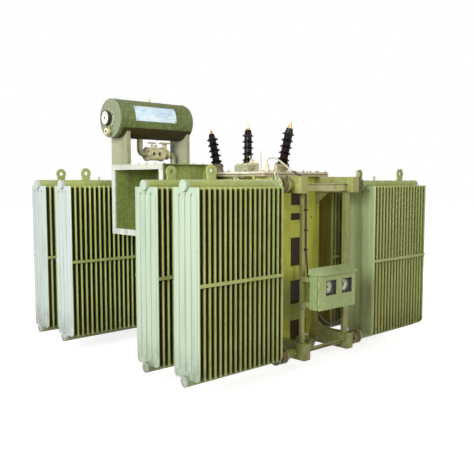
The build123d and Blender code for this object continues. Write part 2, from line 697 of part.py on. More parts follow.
def marshalling_door():
    """Door with two windows, its hinge knuckles and a round latch."""
    door = block((BOX_LEFT, DOOR_FRONT_Y, BOX_BOTTOM), (BOX_RIGHT, DOOR_BACK_Y, door_top()))
    half_w = WINDOW_WIDTH / 2
    half_h = WINDOW_HEIGHT / 2
    for x in WINDOW_CENTRES:
        door = door - block((x - half_w, DOOR_FRONT_Y, WINDOW_CENTRE_Z - half_h),
                            (x + half_w, DOOR_BACK_Y, WINDOW_CENTRE_Z + half_h))
        door = door - block((x - half_w - PANE_LAP, DOOR_BACK_Y - PANE_THICKNESS,
                             WINDOW_CENTRE_Z - half_h - PANE_LAP),
                            (x + half_w + PANE_LAP, DOOR_BACK_Y, WINDOW_CENTRE_Z + half_h + PANE_LAP))
    latch_x = BOX_RIGHT - LATCH_FROM_EDGE
    door = door + rod((latch_x, DOOR_FRONT_Y, WINDOW_CENTRE_Z),
                      (latch_x, DOOR_FRONT_Y - LATCH_RISE, WINDOW_CENTRE_Z), LATCH_RADIUS)
    x, y = hinge_line()
    for z in hinge_levels():
        half = HINGE_KNUCKLE_LENGTH / 2
        knuckle = rod((x, y, z - half), (x, y, z + half), HINGE_KNUCKLE_RADIUS)
        leaf = block((x, DOOR_FRONT_Y, z - half), (BOX_LEFT, DOOR_FRONT_Y + HINGE_KNUCKLE_RADIUS, z + half))
        hole = rod((x, y, z - half), (x, y, z + half), HINGE_PIN_RADIUS + PIN_CLEARANCE)
        door = door + (knuckle + leaf - hole)
    return door


def window_panes():
    """Glass set into the back of each window."""
    half_w = WINDOW_WIDTH / 2 + PANE_LAP
    half_h = WINDOW_HEIGHT / 2 + PANE_LAP
    return [block((x - half_w, DOOR_BACK_Y - PANE_THICKNESS, WINDOW_CENTRE_Z - half_h),
                  (x + half_w, DOOR_BACK_Y, WINDOW_CENTRE_Z + half_h)) for x in WINDOW_CENTRES]


def dial_gauges():
    """Two round thermometers behind the windows, each on a stem from the back of the case."""
    gauges = []
    front = BOX_FRONT_Y + DIAL_RECESS
    back = BOX_BACK_Y - BOX_WALL
    for x in WINDOW_CENTRES:
        body = rod((x, front, WINDOW_CENTRE_Z), (x, front + DIAL_DEPTH, WINDOW_CENTRE_Z), DIAL_RADIUS)
        face = rod((x, front, WINDOW_CENTRE_Z), (x, front + DIAL_BEZEL_RISE, WINDOW_CENTRE_Z),
                   DIAL_RADIUS - DIAL_BEZEL)
        stem = rod((x, front + DIAL_DEPTH, WINDOW_CENTRE_Z), (x, back, WINDOW_CENTRE_Z), DIAL_RADIUS / 2)
        gauges.append(body - face + stem)
    return gauges


def cable_box():
    """Steel box for the low-voltage cables, open towards -X, with a drilled flange round its mouth."""
    lid_bottom = CABLE_BOX_LID_TOP - CABLE_LID_THICKNESS
    half = CABLE_BOX_HALF_WIDTH
    outside = block((CABLE_BOX_FRONT, -half, CABLE_BOX_BOTTOM), (CABLE_BOX_BACK, half, lid_bottom))
    wall = CABLE_BOX_WALL
    inside = block((CABLE_BOX_FRONT, -half + wall, CABLE_BOX_BOTTOM + wall),
                   (CABLE_BOX_BACK - wall, half - wall, lid_bottom - wall))
    flange_half = half + CABLE_FLANGE_WIDTH
    flange = block((CABLE_BOX_FRONT, -flange_half, CABLE_BOX_BOTTOM - CABLE_FLANGE_WIDTH),
                   (CABLE_BOX_FRONT + CABLE_FLANGE_THICKNESS, flange_half, CABLE_BOX_LID_TOP))
    shape = outside + flange - inside
    for y, z in flange_holes():
        shape = shape - rod((CABLE_BOX_FRONT, y, z), (CABLE_BOX_FRONT + CABLE_FLANGE_THICKNESS, y, z),
                            CABLE_HOLE_RADIUS)
    return shape


def flange_holes():
    """Centres of the bolt holes in the side and bottom strips of the cable-box flange."""
    side = CABLE_BOX_HALF_WIDTH + CABLE_FLANGE_WIDTH - CABLE_HOLE_INSET
    low = CABLE_BOX_BOTTOM - CABLE_FLANGE_WIDTH + CABLE_HOLE_INSET
    high = CABLE_BOX_LID_TOP - CABLE_FLANGE_WIDTH
    rows = [low + (high - low) * index / (CABLE_HOLE_ROWS - 1) for index in range(CABLE_HOLE_ROWS)]
    columns = [side * (2 * index / (CABLE_HOLE_COLUMNS - 1) - 1) for index in range(CABLE_HOLE_COLUMNS)]
    holes = [(y, z) for y in (-side, side) for z in rows[1:]]
    return holes + [(y, low) for y in columns]


def cable_box_lid():
    """Bolted plate on top of the cable box, as wide as its flange."""
    half = CABLE_BOX_HALF_WIDTH + CABLE_FLANGE_WIDTH
    return block((CABLE_BOX_FRONT + CABLE_FLANGE_THICKNESS, -half, CABLE_BOX_LID_TOP - CABLE_LID_THICKNESS),
                 (CABLE_BOX_BACK, half, CABLE_BOX_LID_TOP))


def cable_throat():
    """Duct from the tank wall to the back of the cable box, with a flange there."""
    start = CABLE_BOX_BACK
    duct = block((start, -THROAT_HALF_WIDTH, THROAT_BOTTOM), (-HALF_WIDTH, THROAT_HALF_WIDTH, THROAT_TOP))
    half = CABLE_BOX_HALF_WIDTH + THROAT_FLANGE_WIDTH
    flange = block((start, -half, CABLE_BOX_BOTTOM), (start + THROAT_FLANGE_THICKNESS, half, CABLE_BOX_LID_TOP))
    return duct + flange


def conservator_drum():
    """Drum with a dished +X end and a flat bolted end with a ring at -X."""
    turn = math.radians(DRUM_KNUCKLE_DEGREES)
    crown_radius = (DRUM_RADIUS - DRUM_KNUCKLE_RADIUS * (1 - math.cos(turn))) / math.cos(turn)
    crown_rise = crown_radius * (1 - math.sin(turn))
    straight_end = DRUM_RIGHT - DRUM_KNUCKLE_RADIUS * math.sin(turn) - crown_rise
    ring_end = DRUM_LEFT + END_RING_THICKNESS
    knuckle = JernArc((straight_end, DRUM_RADIUS), (1, 0), DRUM_KNUCKLE_RADIUS, -DRUM_KNUCKLE_DEGREES)
    profile = [
        Line((DRUM_LEFT, 0), (DRUM_LEFT, DRUM_RADIUS)),
        Line((DRUM_LEFT, DRUM_RADIUS), (ring_end, DRUM_RADIUS)),
        Line((ring_end, DRUM_RADIUS), (ring_end, DRUM_RADIUS - END_RING_STEP)),
        Line((ring_end, DRUM_RADIUS - END_RING_STEP), (ring_end + END_RING_STEP, DRUM_RADIUS)),
        Line((ring_end + END_RING_STEP, DRUM_RADIUS), (straight_end, DRUM_RADIUS)),
        knuckle,
        TangentArc(knuckle @ 1, (DRUM_RIGHT, 0), tangent=knuckle % 1),
        Line((DRUM_RIGHT, 0), (DRUM_LEFT, 0)),
    ]
    drum = revolve(Plane.XZ * make_face(profile), axis=Axis.X)
    return Pos(0, DRUM_Y, DRUM_Z) * drum


def conservator_support(x, base_z):
    """Upright channel under the drum, its web towards -X and its top cut to the drum."""
    low = DRUM_Y - SUPPORT_WIDTH / 2
    high = DRUM_Y + SUPPORT_WIDTH / 2
    outer = block((x, low, base_z), (x + SUPPORT_DEPTH, high, DRUM_Z))
    hollow = block((x + SUPPORT_WALL, low + SUPPORT_WALL, base_z),
                   (x + SUPPORT_DEPTH, high - SUPPORT_WALL, DRUM_Z))
    drum = rod((DRUM_LEFT, DRUM_Y, DRUM_Z), (DRUM_RIGHT, DRUM_Y, DRUM_Z), DRUM_RADIUS + SEAT)
    return outer - hollow - drum


def oil_level_gauge():
    """Round dial gauge on a neck, on the flat end of the drum, with a drain cock below it."""
    y = DRUM_Y + GAUGE_OFFSET_Y
    z = DRUM_Z + GAUGE_OFFSET_Z
    neck = rod((DRUM_LEFT, y, z), (DRUM_LEFT - GAUGE_STANDOUT, y, z), GAUGE_NECK_RADIUS)
    dial_depth = GAUGE_STANDOUT / 2
    dial = rod((DRUM_LEFT - dial_depth, y, z), (DRUM_LEFT - GAUGE_STANDOUT, y, z), GAUGE_RADIUS)
    face = rod((DRUM_LEFT - GAUGE_STANDOUT + DIAL_BEZEL_RISE, y, z), (DRUM_LEFT - GAUGE_STANDOUT, y, z),
               GAUGE_RADIUS - DIAL_BEZEL)
    return neck + dial - face


def conservator_drain():
    """Drain cock on the lower part of the flat drum end."""
    y = DRUM_Y + DRAIN_OFFSET_Y
    z = DRUM_Z + DRAIN_OFFSET_Z
    neck = rod((DRUM_LEFT, y, z), (DRUM_LEFT - DRAIN_LENGTH, y, z), DRAIN_RADIUS / 2)
    body = rod((DRUM_LEFT - DRAIN_LENGTH / 2, y, z), (DRUM_LEFT - DRAIN_LENGTH, y, z), DRAIN_RADIUS)
    return neck + body


def filler_plug():
    """Filler plug on top of the drum."""
    start = DRUM_Z + DRUM_RADIUS - END_RING_STEP
    end = DRUM_Z + DRUM_RADIUS + FILLER_RISE
    plug = rod((FILLER_X, DRUM_Y, start), (FILLER_X, DRUM_Y, end), FILLER_RADIUS)
    drum = rod((DRUM_LEFT, DRUM_Y, DRUM_Z), (DRUM_RIGHT, DRUM_Y, DRUM_Z), DRUM_RADIUS + SEAT)
    return plug - drum


def relay_pipe_upper():
    """Pipe from the drum down and over to the relay."""
    corner = [(RELAY_PIPE_X, DRUM_Y, DRUM_Z - DRUM_RADIUS / 2), (RELAY_PIPE_X, DRUM_Y, RELAY_PIPE_Z),
              (RELAY_X - RELAY_HALF_LENGTH, DRUM_Y, RELAY_PIPE_Z)]
    path = FilletPolyline(*corner, radius=RELAY_PIPE_BEND)
    start = Plane(origin=corner[0], z_dir=(0, 0, -1))
    pipe = sweep(start * Circle(RELAY_PIPE_RADIUS), path=path)
    drum = rod((DRUM_LEFT, DRUM_Y, DRUM_Z), (DRUM_RIGHT, DRUM_Y, DRUM_Z), DRUM_RADIUS + SEAT)
    return pipe - drum


def relay_pipe_lower():
    """Pipe from the valve over and down to a flange on top of the throat."""
    corner = [(RELAY_VALVE_X + RELAY_VALVE_HALF_LENGTH, DRUM_Y, RELAY_PIPE_Z),
              (RELAY_DOWNCOMER_X, DRUM_Y, RELAY_PIPE_Z), (RELAY_DOWNCOMER_X, DRUM_Y, THROAT_TOP)]
    bend = min(RELAY_PIPE_BEND, (corner[1][0] - corner[0][0]) * 0.9)
    path = FilletPolyline(*corner, radius=bend)
    start = Plane(origin=corner[0], z_dir=(1, 0, 0))
    pipe = sweep(start * Circle(RELAY_PIPE_RADIUS), path=path)
    flange = rod(corner[2], (RELAY_DOWNCOMER_X, DRUM_Y, THROAT_TOP + DOWNCOMER_FLANGE_THICKNESS),
                 DOWNCOMER_FLANGE_RADIUS)
    return pipe + flange


def gas_relay():
    """Gas relay: a cast body between two round flanges, with a domed cap."""
    left = RELAY_X - RELAY_HALF_LENGTH
    right = RELAY_X + RELAY_HALF_LENGTH
    z = RELAY_PIPE_Z
    body = block((left + RELAY_FLANGE_THICKNESS, DRUM_Y - RELAY_HALF_WIDTH, z - RELAY_HALF_HEIGHT),
                 (right - RELAY_FLANGE_THICKNESS, DRUM_Y + RELAY_HALF_WIDTH, z + RELAY_HALF_HEIGHT))
    body = fillet(body.edges().filter_by(Axis.X), RELAY_HALF_WIDTH / 2)
    for start, end in ((left, left + RELAY_FLANGE_THICKNESS), (right - RELAY_FLANGE_THICKNESS, right)):
        body = body + rod((start, DRUM_Y, z), (end, DRUM_Y, z), RELAY_FLANGE_RADIUS)
    cap_radius = RELAY_HALF_WIDTH / 2
    cap = rod((RELAY_X, DRUM_Y, z), (RELAY_X, DRUM_Y, z + RELAY_HALF_HEIGHT + cap_radius), cap_radius)
    link = rod((right, DRUM_Y, z), (RELAY_VALVE_X - RELAY_VALVE_HALF_LENGTH, DRUM_Y, z), RELAY_PIPE_RADIUS)
    return body + cap + link


def relay_valve():
    """Gate valve after the relay, with a bonnet under its handwheel."""
    left = RELAY_VALVE_X - RELAY_VALVE_HALF_LENGTH
    right = RELAY_VALVE_X + RELAY_VALVE_HALF_LENGTH
    z = RELAY_PIPE_Z
    body = rod((left, DRUM_Y, z), (right, DRUM_Y, z), RELAY_PIPE_RADIUS)
    for start, end in ((left, left + RELAY_FLANGE_THICKNESS), (right - RELAY_FLANGE_THICKNESS, right)):
        body = body + rod((start, DRUM_Y, z), (end, DRUM_Y, z), RELAY_VALVE_RADIUS)
    return body + rod((RELAY_VALVE_X, DRUM_Y, z), (RELAY_VALVE_X, DRUM_Y, z + RELAY_VALVE_RISE),
                      RELAY_VALVE_BONNET_RADIUS)


def handwheel():
    """Spoked handwheel on top of the relay valve, its cast rim eight-sided in section."""
    z = RELAY_PIPE_Z + RELAY_VALVE_RISE + HANDWHEEL_RIM_RADIUS
    section = Plane.XZ * Pos(HANDWHEEL_RADIUS, 0) * RegularPolygon(HANDWHEEL_RIM_RADIUS, 8)
    rim = Pos(RELAY_VALVE_X, DRUM_Y, z) * revolve(section, axis=Axis.Z)
    hub = rod((RELAY_VALVE_X, DRUM_Y, z - HANDWHEEL_RIM_RADIUS), (RELAY_VALVE_X, DRUM_Y, z + HANDWHEEL_RIM_RADIUS),
              2 * HANDWHEEL_RIM_RADIUS)
    wheel = rim + hub
    for index in range(HANDWHEEL_SPOKES):
        angle = 2 * math.pi * (index + 0.5) / HANDWHEEL_SPOKES
        tip = (RELAY_VALVE_X + HANDWHEEL_RADIUS * math.cos(angle), DRUM_Y + HANDWHEEL_RADIUS * math.sin(angle), z)
        wheel = wheel + rod((RELAY_VALVE_X, DRUM_Y, z), tip, HANDWHEEL_SPOKE_RADIUS)
    return wheel


def bushing_places():
    """Position and lean of each bushing frame, from front to back."""
    return [Pos(BUSHING_X, BUSHING_Y + index * BUSHING_SPACING, COVER_TOP) * Rot(-index * BUSHING_LEAN, 0, 0)
            for index in (-1, 0, 1)]


def turret_top():
    """Height of the clamp's top in a bushing's own frame."""
    return TURRET_HEIGHT + CLAMP_HEIGHT


def hv_turrets():
    """Round flanged turrets that lean with their bushings and stand on the cover."""
    turrets = []
    ground = block((-TANK_WIDTH, -TANK_LENGTH, 0), (TANK_WIDTH, TANK_LENGTH, COVER_TOP))
    for index, place in zip((-1, 0, 1), bushing_places()):
        neck = Pos(0, 0, -TURRET_RADIUS) * Cylinder(TURRET_RADIUS, TURRET_HEIGHT + TURRET_RADIUS,
                                                    align=(Align.CENTER, Align.CENTER, Align.MIN))
        clamp = Pos(0, 0, TURRET_HEIGHT) * Cylinder(CLAMP_RADIUS, CLAMP_HEIGHT,
                                                    align=(Align.CENTER, Align.CENTER, Align.MIN))
        foot_y = BUSHING_Y + index * BUSHING_SPACING
        foot = rod((BUSHING_X, foot_y, COVER_TOP), (BUSHING_X, foot_y, COVER_TOP + TURRET_FLANGE_THICKNESS),
                   TURRET_FLANGE_RADIUS)
        turrets.append(place * (neck + clamp) - ground + foot)
    return turrets


def porcelain():
    """Insulator of revolution: a base, a row of drooping sheds and a neck."""
    start = turret_top()
    points = [(0, start), (PORCELAIN_BASE_RADIUS, start),
              (PORCELAIN_BASE_RADIUS, start + PORCELAIN_BASE_HEIGHT - PORCELAIN_SHED_EDGE),
              (PORCELAIN_SHAFT_RADIUS, start + PORCELAIN_BASE_HEIGHT)]
    level = start + PORCELAIN_BASE_HEIGHT
    for index in range(PORCELAIN_SHEDS):
        top = level + PORCELAIN_SHED_DROP
        points += [(PORCELAIN_SHAFT_RADIUS, level), (PORCELAIN_SHED_RADIUS, level + PORCELAIN_SHED_EDGE),
                   (PORCELAIN_SHED_RADIUS, level + 2 * PORCELAIN_SHED_EDGE),
                   (PORCELAIN_SHAFT_RADIUS, top + PORCELAIN_SHED_EDGE)]
        level += PORCELAIN_SHED_PITCH
    end = level + PORCELAIN_TOP_HEIGHT - PORCELAIN_SHED_PITCH / 2
    points += [(PORCELAIN_TOP_RADIUS, end), (0, end)]
    outline = [points[0]]
    for point in points[1:]:
        if point != outline[-1]:
            outline.append(point)
    return revolve(Plane.XZ * make_face(Polyline(*outline, close=True)), axis=Axis.Z), end


def terminal(base):
    """Metal cap with a threaded stud and nut on top of an insulator."""
    cap = Pos(0, 0, base) * Cone(TERMINAL_CAP_RADIUS, TERMINAL_STUD_RADIUS + PORCELAIN_SHED_EDGE,
                                 TERMINAL_CAP_HEIGHT, align=(Align.CENTER, Align.CENTER, Align.MIN))
    stud = rod((0, 0, base), (0, 0, base + TERMINAL_CAP_HEIGHT + TERMINAL_STUD_LENGTH), TERMINAL_STUD_RADIUS)
    nut_base = base + TERMINAL_CAP_HEIGHT
    nut = extrude(Pos(0, 0, nut_base) * RegularPolygon(TERMINAL_NUT_RADIUS, 6), TERMINAL_NUT_HEIGHT)
    return cap + stud + nut


def tap_switch():
    """Tap switch on the cover: a round housing with a cross handle."""
    housing = rod((SWITCH_X, SWITCH_Y, COVER_TOP), (SWITCH_X, SWITCH_Y, COVER_TOP + SWITCH_HEIGHT), SWITCH_RADIUS)
    handle = Pos(SWITCH_X, SWITCH_Y, COVER_TOP + SWITCH_HEIGHT + SWITCH_HANDLE_HEIGHT / 2) * Box(
        SWITCH_HANDLE_WIDTH, SWITCH_HANDLE_LENGTH, SWITCH_HANDLE_HEIGHT)
    return housing + handle


def relief_valve():
    """Pressure relief valve on the cover: a flanged body under a wider cap."""
    low = COVER_TOP
    body = rod((RELIEF_X, RELIEF_Y, low), (RELIEF_X, RELIEF_Y, low + RELIEF_HEIGHT), RELIEF_RADIUS * 0.75)
    foot = rod((RELIEF_X, RELIEF_Y, low), (RELIEF_X, RELIEF_Y, low + FLANGE_THICKNESS), RELIEF_RADIUS)
    cap = rod((RELIEF_X, RELIEF_Y, low + RELIEF_HEIGHT / 2), (RELIEF_X, RELIEF_Y, low + RELIEF_HEIGHT), RELIEF_RADIUS)
    return body + foot + cap


def thermometer_pockets():
    """Two screwed pockets in the cover near the front left corner."""
    pockets = []
    for index in (0, 1):
        x = POCKET_X + index * POCKET_SPACING
        pocket = rod((x, POCKET_Y, COVER_TOP), (x, POCKET_Y, COVER_TOP + POCKET_HEIGHT), POCKET_RADIUS)
        pockets.append(pocket + extrude(Pos(x, POCKET_Y, COVER_TOP) * RegularPolygon(POCKET_RADIUS * 1.5, 6),
                                        POCKET_HEIGHT / 3))
    return pockets


def junction_box():
    """Small terminal box on the cover near its front left corner."""
    x0 = JUNCTION_X - JUNCTION_WIDTH / 2
    y0 = JUNCTION_Y - JUNCTION_LENGTH / 2
    return block((x0, y0, COVER_TOP), (x0 + JUNCTION_WIDTH, y0 + JUNCTION_LENGTH, COVER_TOP + JUNCTION_HEIGHT))


def tube_radii():
    """Bend radius at each inner point of the capillary tube's route, as large as its runs allow."""
    points = [Vector(*point) for point in TUBE_ROUTE]
    radii = []
    for before, point, after in zip(points, points[1:], points[2:]):
        turn = math.radians((point - before).get_angle(after - point))
        shorter = min((point - before).length, (after - point).length)
        radii.append(TUBE_ARC_SHARE * shorter / math.tan(turn / 2))
    return radii


def capillary_tube():
    """Sheathed capillary tube: straight runs joined by tangent arcs."""
    path = FilletPolyline(*TUBE_ROUTE, radius=tube_radii())
    start = Plane(origin=TUBE_ROUTE[0], z_dir=path % 0)
    return sweep(start * Circle(TUBE_RADIUS), path=path)


def drain_valve():
    """Drain valve on the front end of the tank: pipe, two flanges, a body and its bonnet."""
    x = DRAIN_VALVE_X
    z = DRAIN_VALVE_Z
    start = -HALF_LENGTH
    end = start - DRAIN_VALVE_LENGTH
    shape = rod((x, start, z), (x, end, z), DRAIN_VALVE_PIPE_RADIUS)
    for near in (start, end + FLANGE_THICKNESS):
        shape = shape + rod((x, near, z), (x, near - FLANGE_THICKNESS, z), DRAIN_VALVE_FLANGE_RADIUS)
    middle = (start + end) / 2
    return shape + rod((x, middle, z), (x, middle, z + DRAIN_VALVE_BONNET_RISE), DRAIN_VALVE_BONNET_RADIUS)


def main():
    os.makedirs("parts", exist_ok=True)
    save("base_skids", *base_skids())
    save("tank_body", tank_body())
    save("cover_gasket", extrude(Pos(0, 0, TANK_TOP) * cover_outline(GASKET_INSET), GASKET_THICKNESS))
    save("tank_cover", extrude(Pos(0, 0, COVER_BOTTOM) * cover_outline(0), COVER_THICKNESS))
    save("tank_stiffeners", *end_stiffeners(), *side_ribs())
    banks = {"outer": OUTER_BANK_Y, "inner": INNER_BANK_Y}
    for row, y in banks.items():
        fins = four_corners(Compound(children=bank_fins(y)))
        pipes = four_corners(Compound(children=header_pipes(y)))
        for corner, bank in zip(("hv_back", "hv_front", "lv_back", "lv_front"), fins):
            save(f"radiator_{corner}_{row}_fins", bank)
        save(f"radiator_hv_{row}_headers", *pipes[:2])
        save(f"radiator_lv_{row}_headers", *pipes[2:])
    save("radiator_tie_bars", *tie_bars())
    valves = []
    stubs = []
    carriers = ((OUTER_BANK_Y, TOP_PIPE_Z, TOP_BOX_SIDE), (OUTER_BANK_Y, BOTTOM_PIPE_Z, BOTTOM_BOX_SIDE),
                (INNER_BANK_Y, TOP_PIPE_Z, HALF_WIDTH), (INNER_BANK_Y, BOTTOM_PIPE_Z, HALF_WIDTH))
    for y, z, carrier_x in carriers:
        valves += four_corners(valve(y, z, 1))
        stubs += four_corners(stub(y, z, carrier_x))
    save("radiator_valves", *valves)
    save("radiator_stubs", *stubs)
    boxes = ((TOP_BOX_SIDE, TOP_PIPE_Z, 1), (BOTTOM_BOX_SIDE, BOTTOM_BOX_Z, -1))
    save("header_boxes", *[copy for side, z, _ in boxes for copy in four_corners(header_box(side, z))])
    save("header_gussets", *[copy for side, z, down in boxes for copy in four_corners(gusset(side, z, down))])
    save("end_frame_beams", *both_ends(end_beam(TOP_BOX_SIDE, TOP_BEAM_Z, TOP_BEAM_HEIGHT)),
         *both_ends(end_beam(BOTTOM_BOX_SIDE, BOTTOM_BEAM_Z, BOTTOM_BEAM_HEIGHT)))
    save("end_frame_posts", *[copy for piece in posts() for copy in both_ends(piece)])
    save("marshalling_box_rails", *box_rails())
    save("marshalling_box", marshalling_box())
    save("marshalling_box_hood", rain_hood())
    save("marshalling_box_hinges", *hinge_pins())
    save("marshalling_box_door", marshalling_door())
    save("door_window_panes", *window_panes())
    save("dial_gauges", *dial_gauges())
    save("cable_box", cable_box())
    save("cable_box_lid", cable_box_lid())
    save("cable_box_throat", cable_throat())
    save("conservator_drum", conservator_drum())
    save("conservator_supports", conservator_support(LEFT_SUPPORT_X, CABLE_BOX_LID_TOP),
         conservator_support(RIGHT_SUPPORT_X, COVER_TOP))
    save("oil_level_gauge", oil_level_gauge())
    save("conservator_fittings", conservator_drain(), filler_plug())
    save("relay_pipes", relay_pipe_upper(), relay_pipe_lower())
    save("gas_relay", gas_relay())
    save("relay_valve", relay_valve())
    save("relay_handwheel", handwheel())
    insulator, insulator_top = porcelain()
    save("hv_turrets", *hv_turrets())
    save("hv_bushings", *[place * insulator for place in bushing_places()])
    save("hv_terminals", *[place * terminal(insulator_top) for place in bushing_places()])
    save("tap_switch", tap_switch())
    save("relief_valve", relief_valve())
    save("thermometer_pockets", *thermometer_pockets())
    save("junction_box", junction_box())
    save("capillary_tube", capillary_tube())
    save("drain_valve", drain_valve())
    print("tube bend radii", [round(radius) for radius in tube_radii()])


main()
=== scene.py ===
import bmesh
import bpy
import math
from mathutils import Matrix, Vector


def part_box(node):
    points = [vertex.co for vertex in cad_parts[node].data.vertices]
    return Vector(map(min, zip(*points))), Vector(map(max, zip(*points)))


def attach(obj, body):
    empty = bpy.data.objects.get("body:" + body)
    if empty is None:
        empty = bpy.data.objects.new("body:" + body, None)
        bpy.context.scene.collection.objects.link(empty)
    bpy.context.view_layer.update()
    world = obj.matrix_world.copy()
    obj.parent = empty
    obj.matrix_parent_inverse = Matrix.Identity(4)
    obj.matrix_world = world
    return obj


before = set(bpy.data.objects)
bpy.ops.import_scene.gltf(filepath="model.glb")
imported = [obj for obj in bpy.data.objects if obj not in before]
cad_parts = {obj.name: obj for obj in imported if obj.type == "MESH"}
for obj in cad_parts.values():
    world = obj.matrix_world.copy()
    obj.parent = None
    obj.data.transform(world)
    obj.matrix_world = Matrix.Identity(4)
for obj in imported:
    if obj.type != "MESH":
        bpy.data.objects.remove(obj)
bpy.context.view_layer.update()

# Camera, as fitted to the photograph: metres from the middle of the tank, degrees
CAMERA_PLACE = (-4.2545, -4.7044, 1.6066)
CAMERA_YAW = 42.76
CAMERA_PITCH = 5.04
CAMERA_LENS = 48.0
CAMERA_SENSOR = 36.0

# Lights: power in watts, size in metres, place from the middle of the tank, and tint
KEY = (565.0, 3.5, (-6.3, -1.9, 3.2), (0.92, 0.98, 1.0))
FILL = (228.0, 3.0, (-1.0, -7.5, 3.4), (1.0, 0.96, 0.80))
BACK = (200.0, 4.0, (6.0, 3.0, 4.0), (1.0, 0.98, 0.92))
AIM_HEIGHT = 1.0
AMBIENT = 0.14

# Floor: its glow grows from near the object to far off, where it meets the white background
FLOOR_SIZE = 80.0
FLOOR_GLOW = 0.80
FLOOR_NEAR = 1.8
FLOOR_FAR = 5.5
FLOOR_SHADE = 0.55
FLOOR_BOUNCE = 0.45
FLOOR_BOUNCE_SPREAD = 0.02
FLOOR_ROUGHNESS = 0.9

# Hexagon bolts: radius across corners, height of the head and radius of the washer, in metres
M12 = (0.0108, 0.0075, 0.0135)
M8 = (0.0075, 0.0055, 0.0095)
M6 = (0.0060, 0.0055, 0.0076)
WASHER_THICKNESS = 0.0025
HEAD_SHOULDER = 0.85
HEAD_CROWN = 0.86
STUD_SHARE = 0.55
STUD_FROM = 0.9
STUD_RISE = 0.7
STUD_TIP = 0.9

# How far a small piece sinks into the face that it sits on, and how thin a mark on a face is
SKIN = 0.001

BODY = "transformer"
DOOR = "box_door"
SIDES = ("hv", "lv")
ENDS = ("front", "back")
ROWS = ("outer", "inner")

X = Vector((1, 0, 0))
Y = Vector((0, 1, 0))
Z = Vector((0, 0, 1))


def corners_of(node):
    """Lowest and highest corner of a CAD node."""
    low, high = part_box(node)
    return Vector(low), Vector(high)


def low_of(node):
    """Lowest corner of a CAD node."""
    return corners_of(node)[0]


def high_of(node):
    """Highest corner of a CAD node."""
    return corners_of(node)[1]


def middle_of(node):
    """Middle of a CAD node's box."""
    low, high = corners_of(node)
    return (low + high) / 2


def spread(low, high, pitch):
    """Evenly spaced places from low to high, about a pitch apart."""
    count = max(1, round((high - low) / pitch))
    return [low + (high - low) * index / count for index in range(count + 1)]


def spokes(first, second, count, shift=0.0):
    """Directions evenly round a circle from first towards second, turned by a share of one step."""
    angles = [2 * math.pi * (index + shift) / count for index in range(count)]
    return [first * math.cos(angle) + second * math.sin(angle) for angle in angles]


def ring(centre, across, up, radius, sides):
    """Places round a circle."""
    return [centre + out * radius for out in spokes(across, up, sides)]


TANK_Y = middle_of("tank_body").y
COVER_TOP = high_of("tank_cover").z


# Node trees

def linear(value):
    """Colour channel given as a display value from 0 to 255, as the shader wants it."""
    value = value / 255
    return value / 12.92 if value <= 0.04045 else ((value + 0.055) / 1.055) ** 2.4


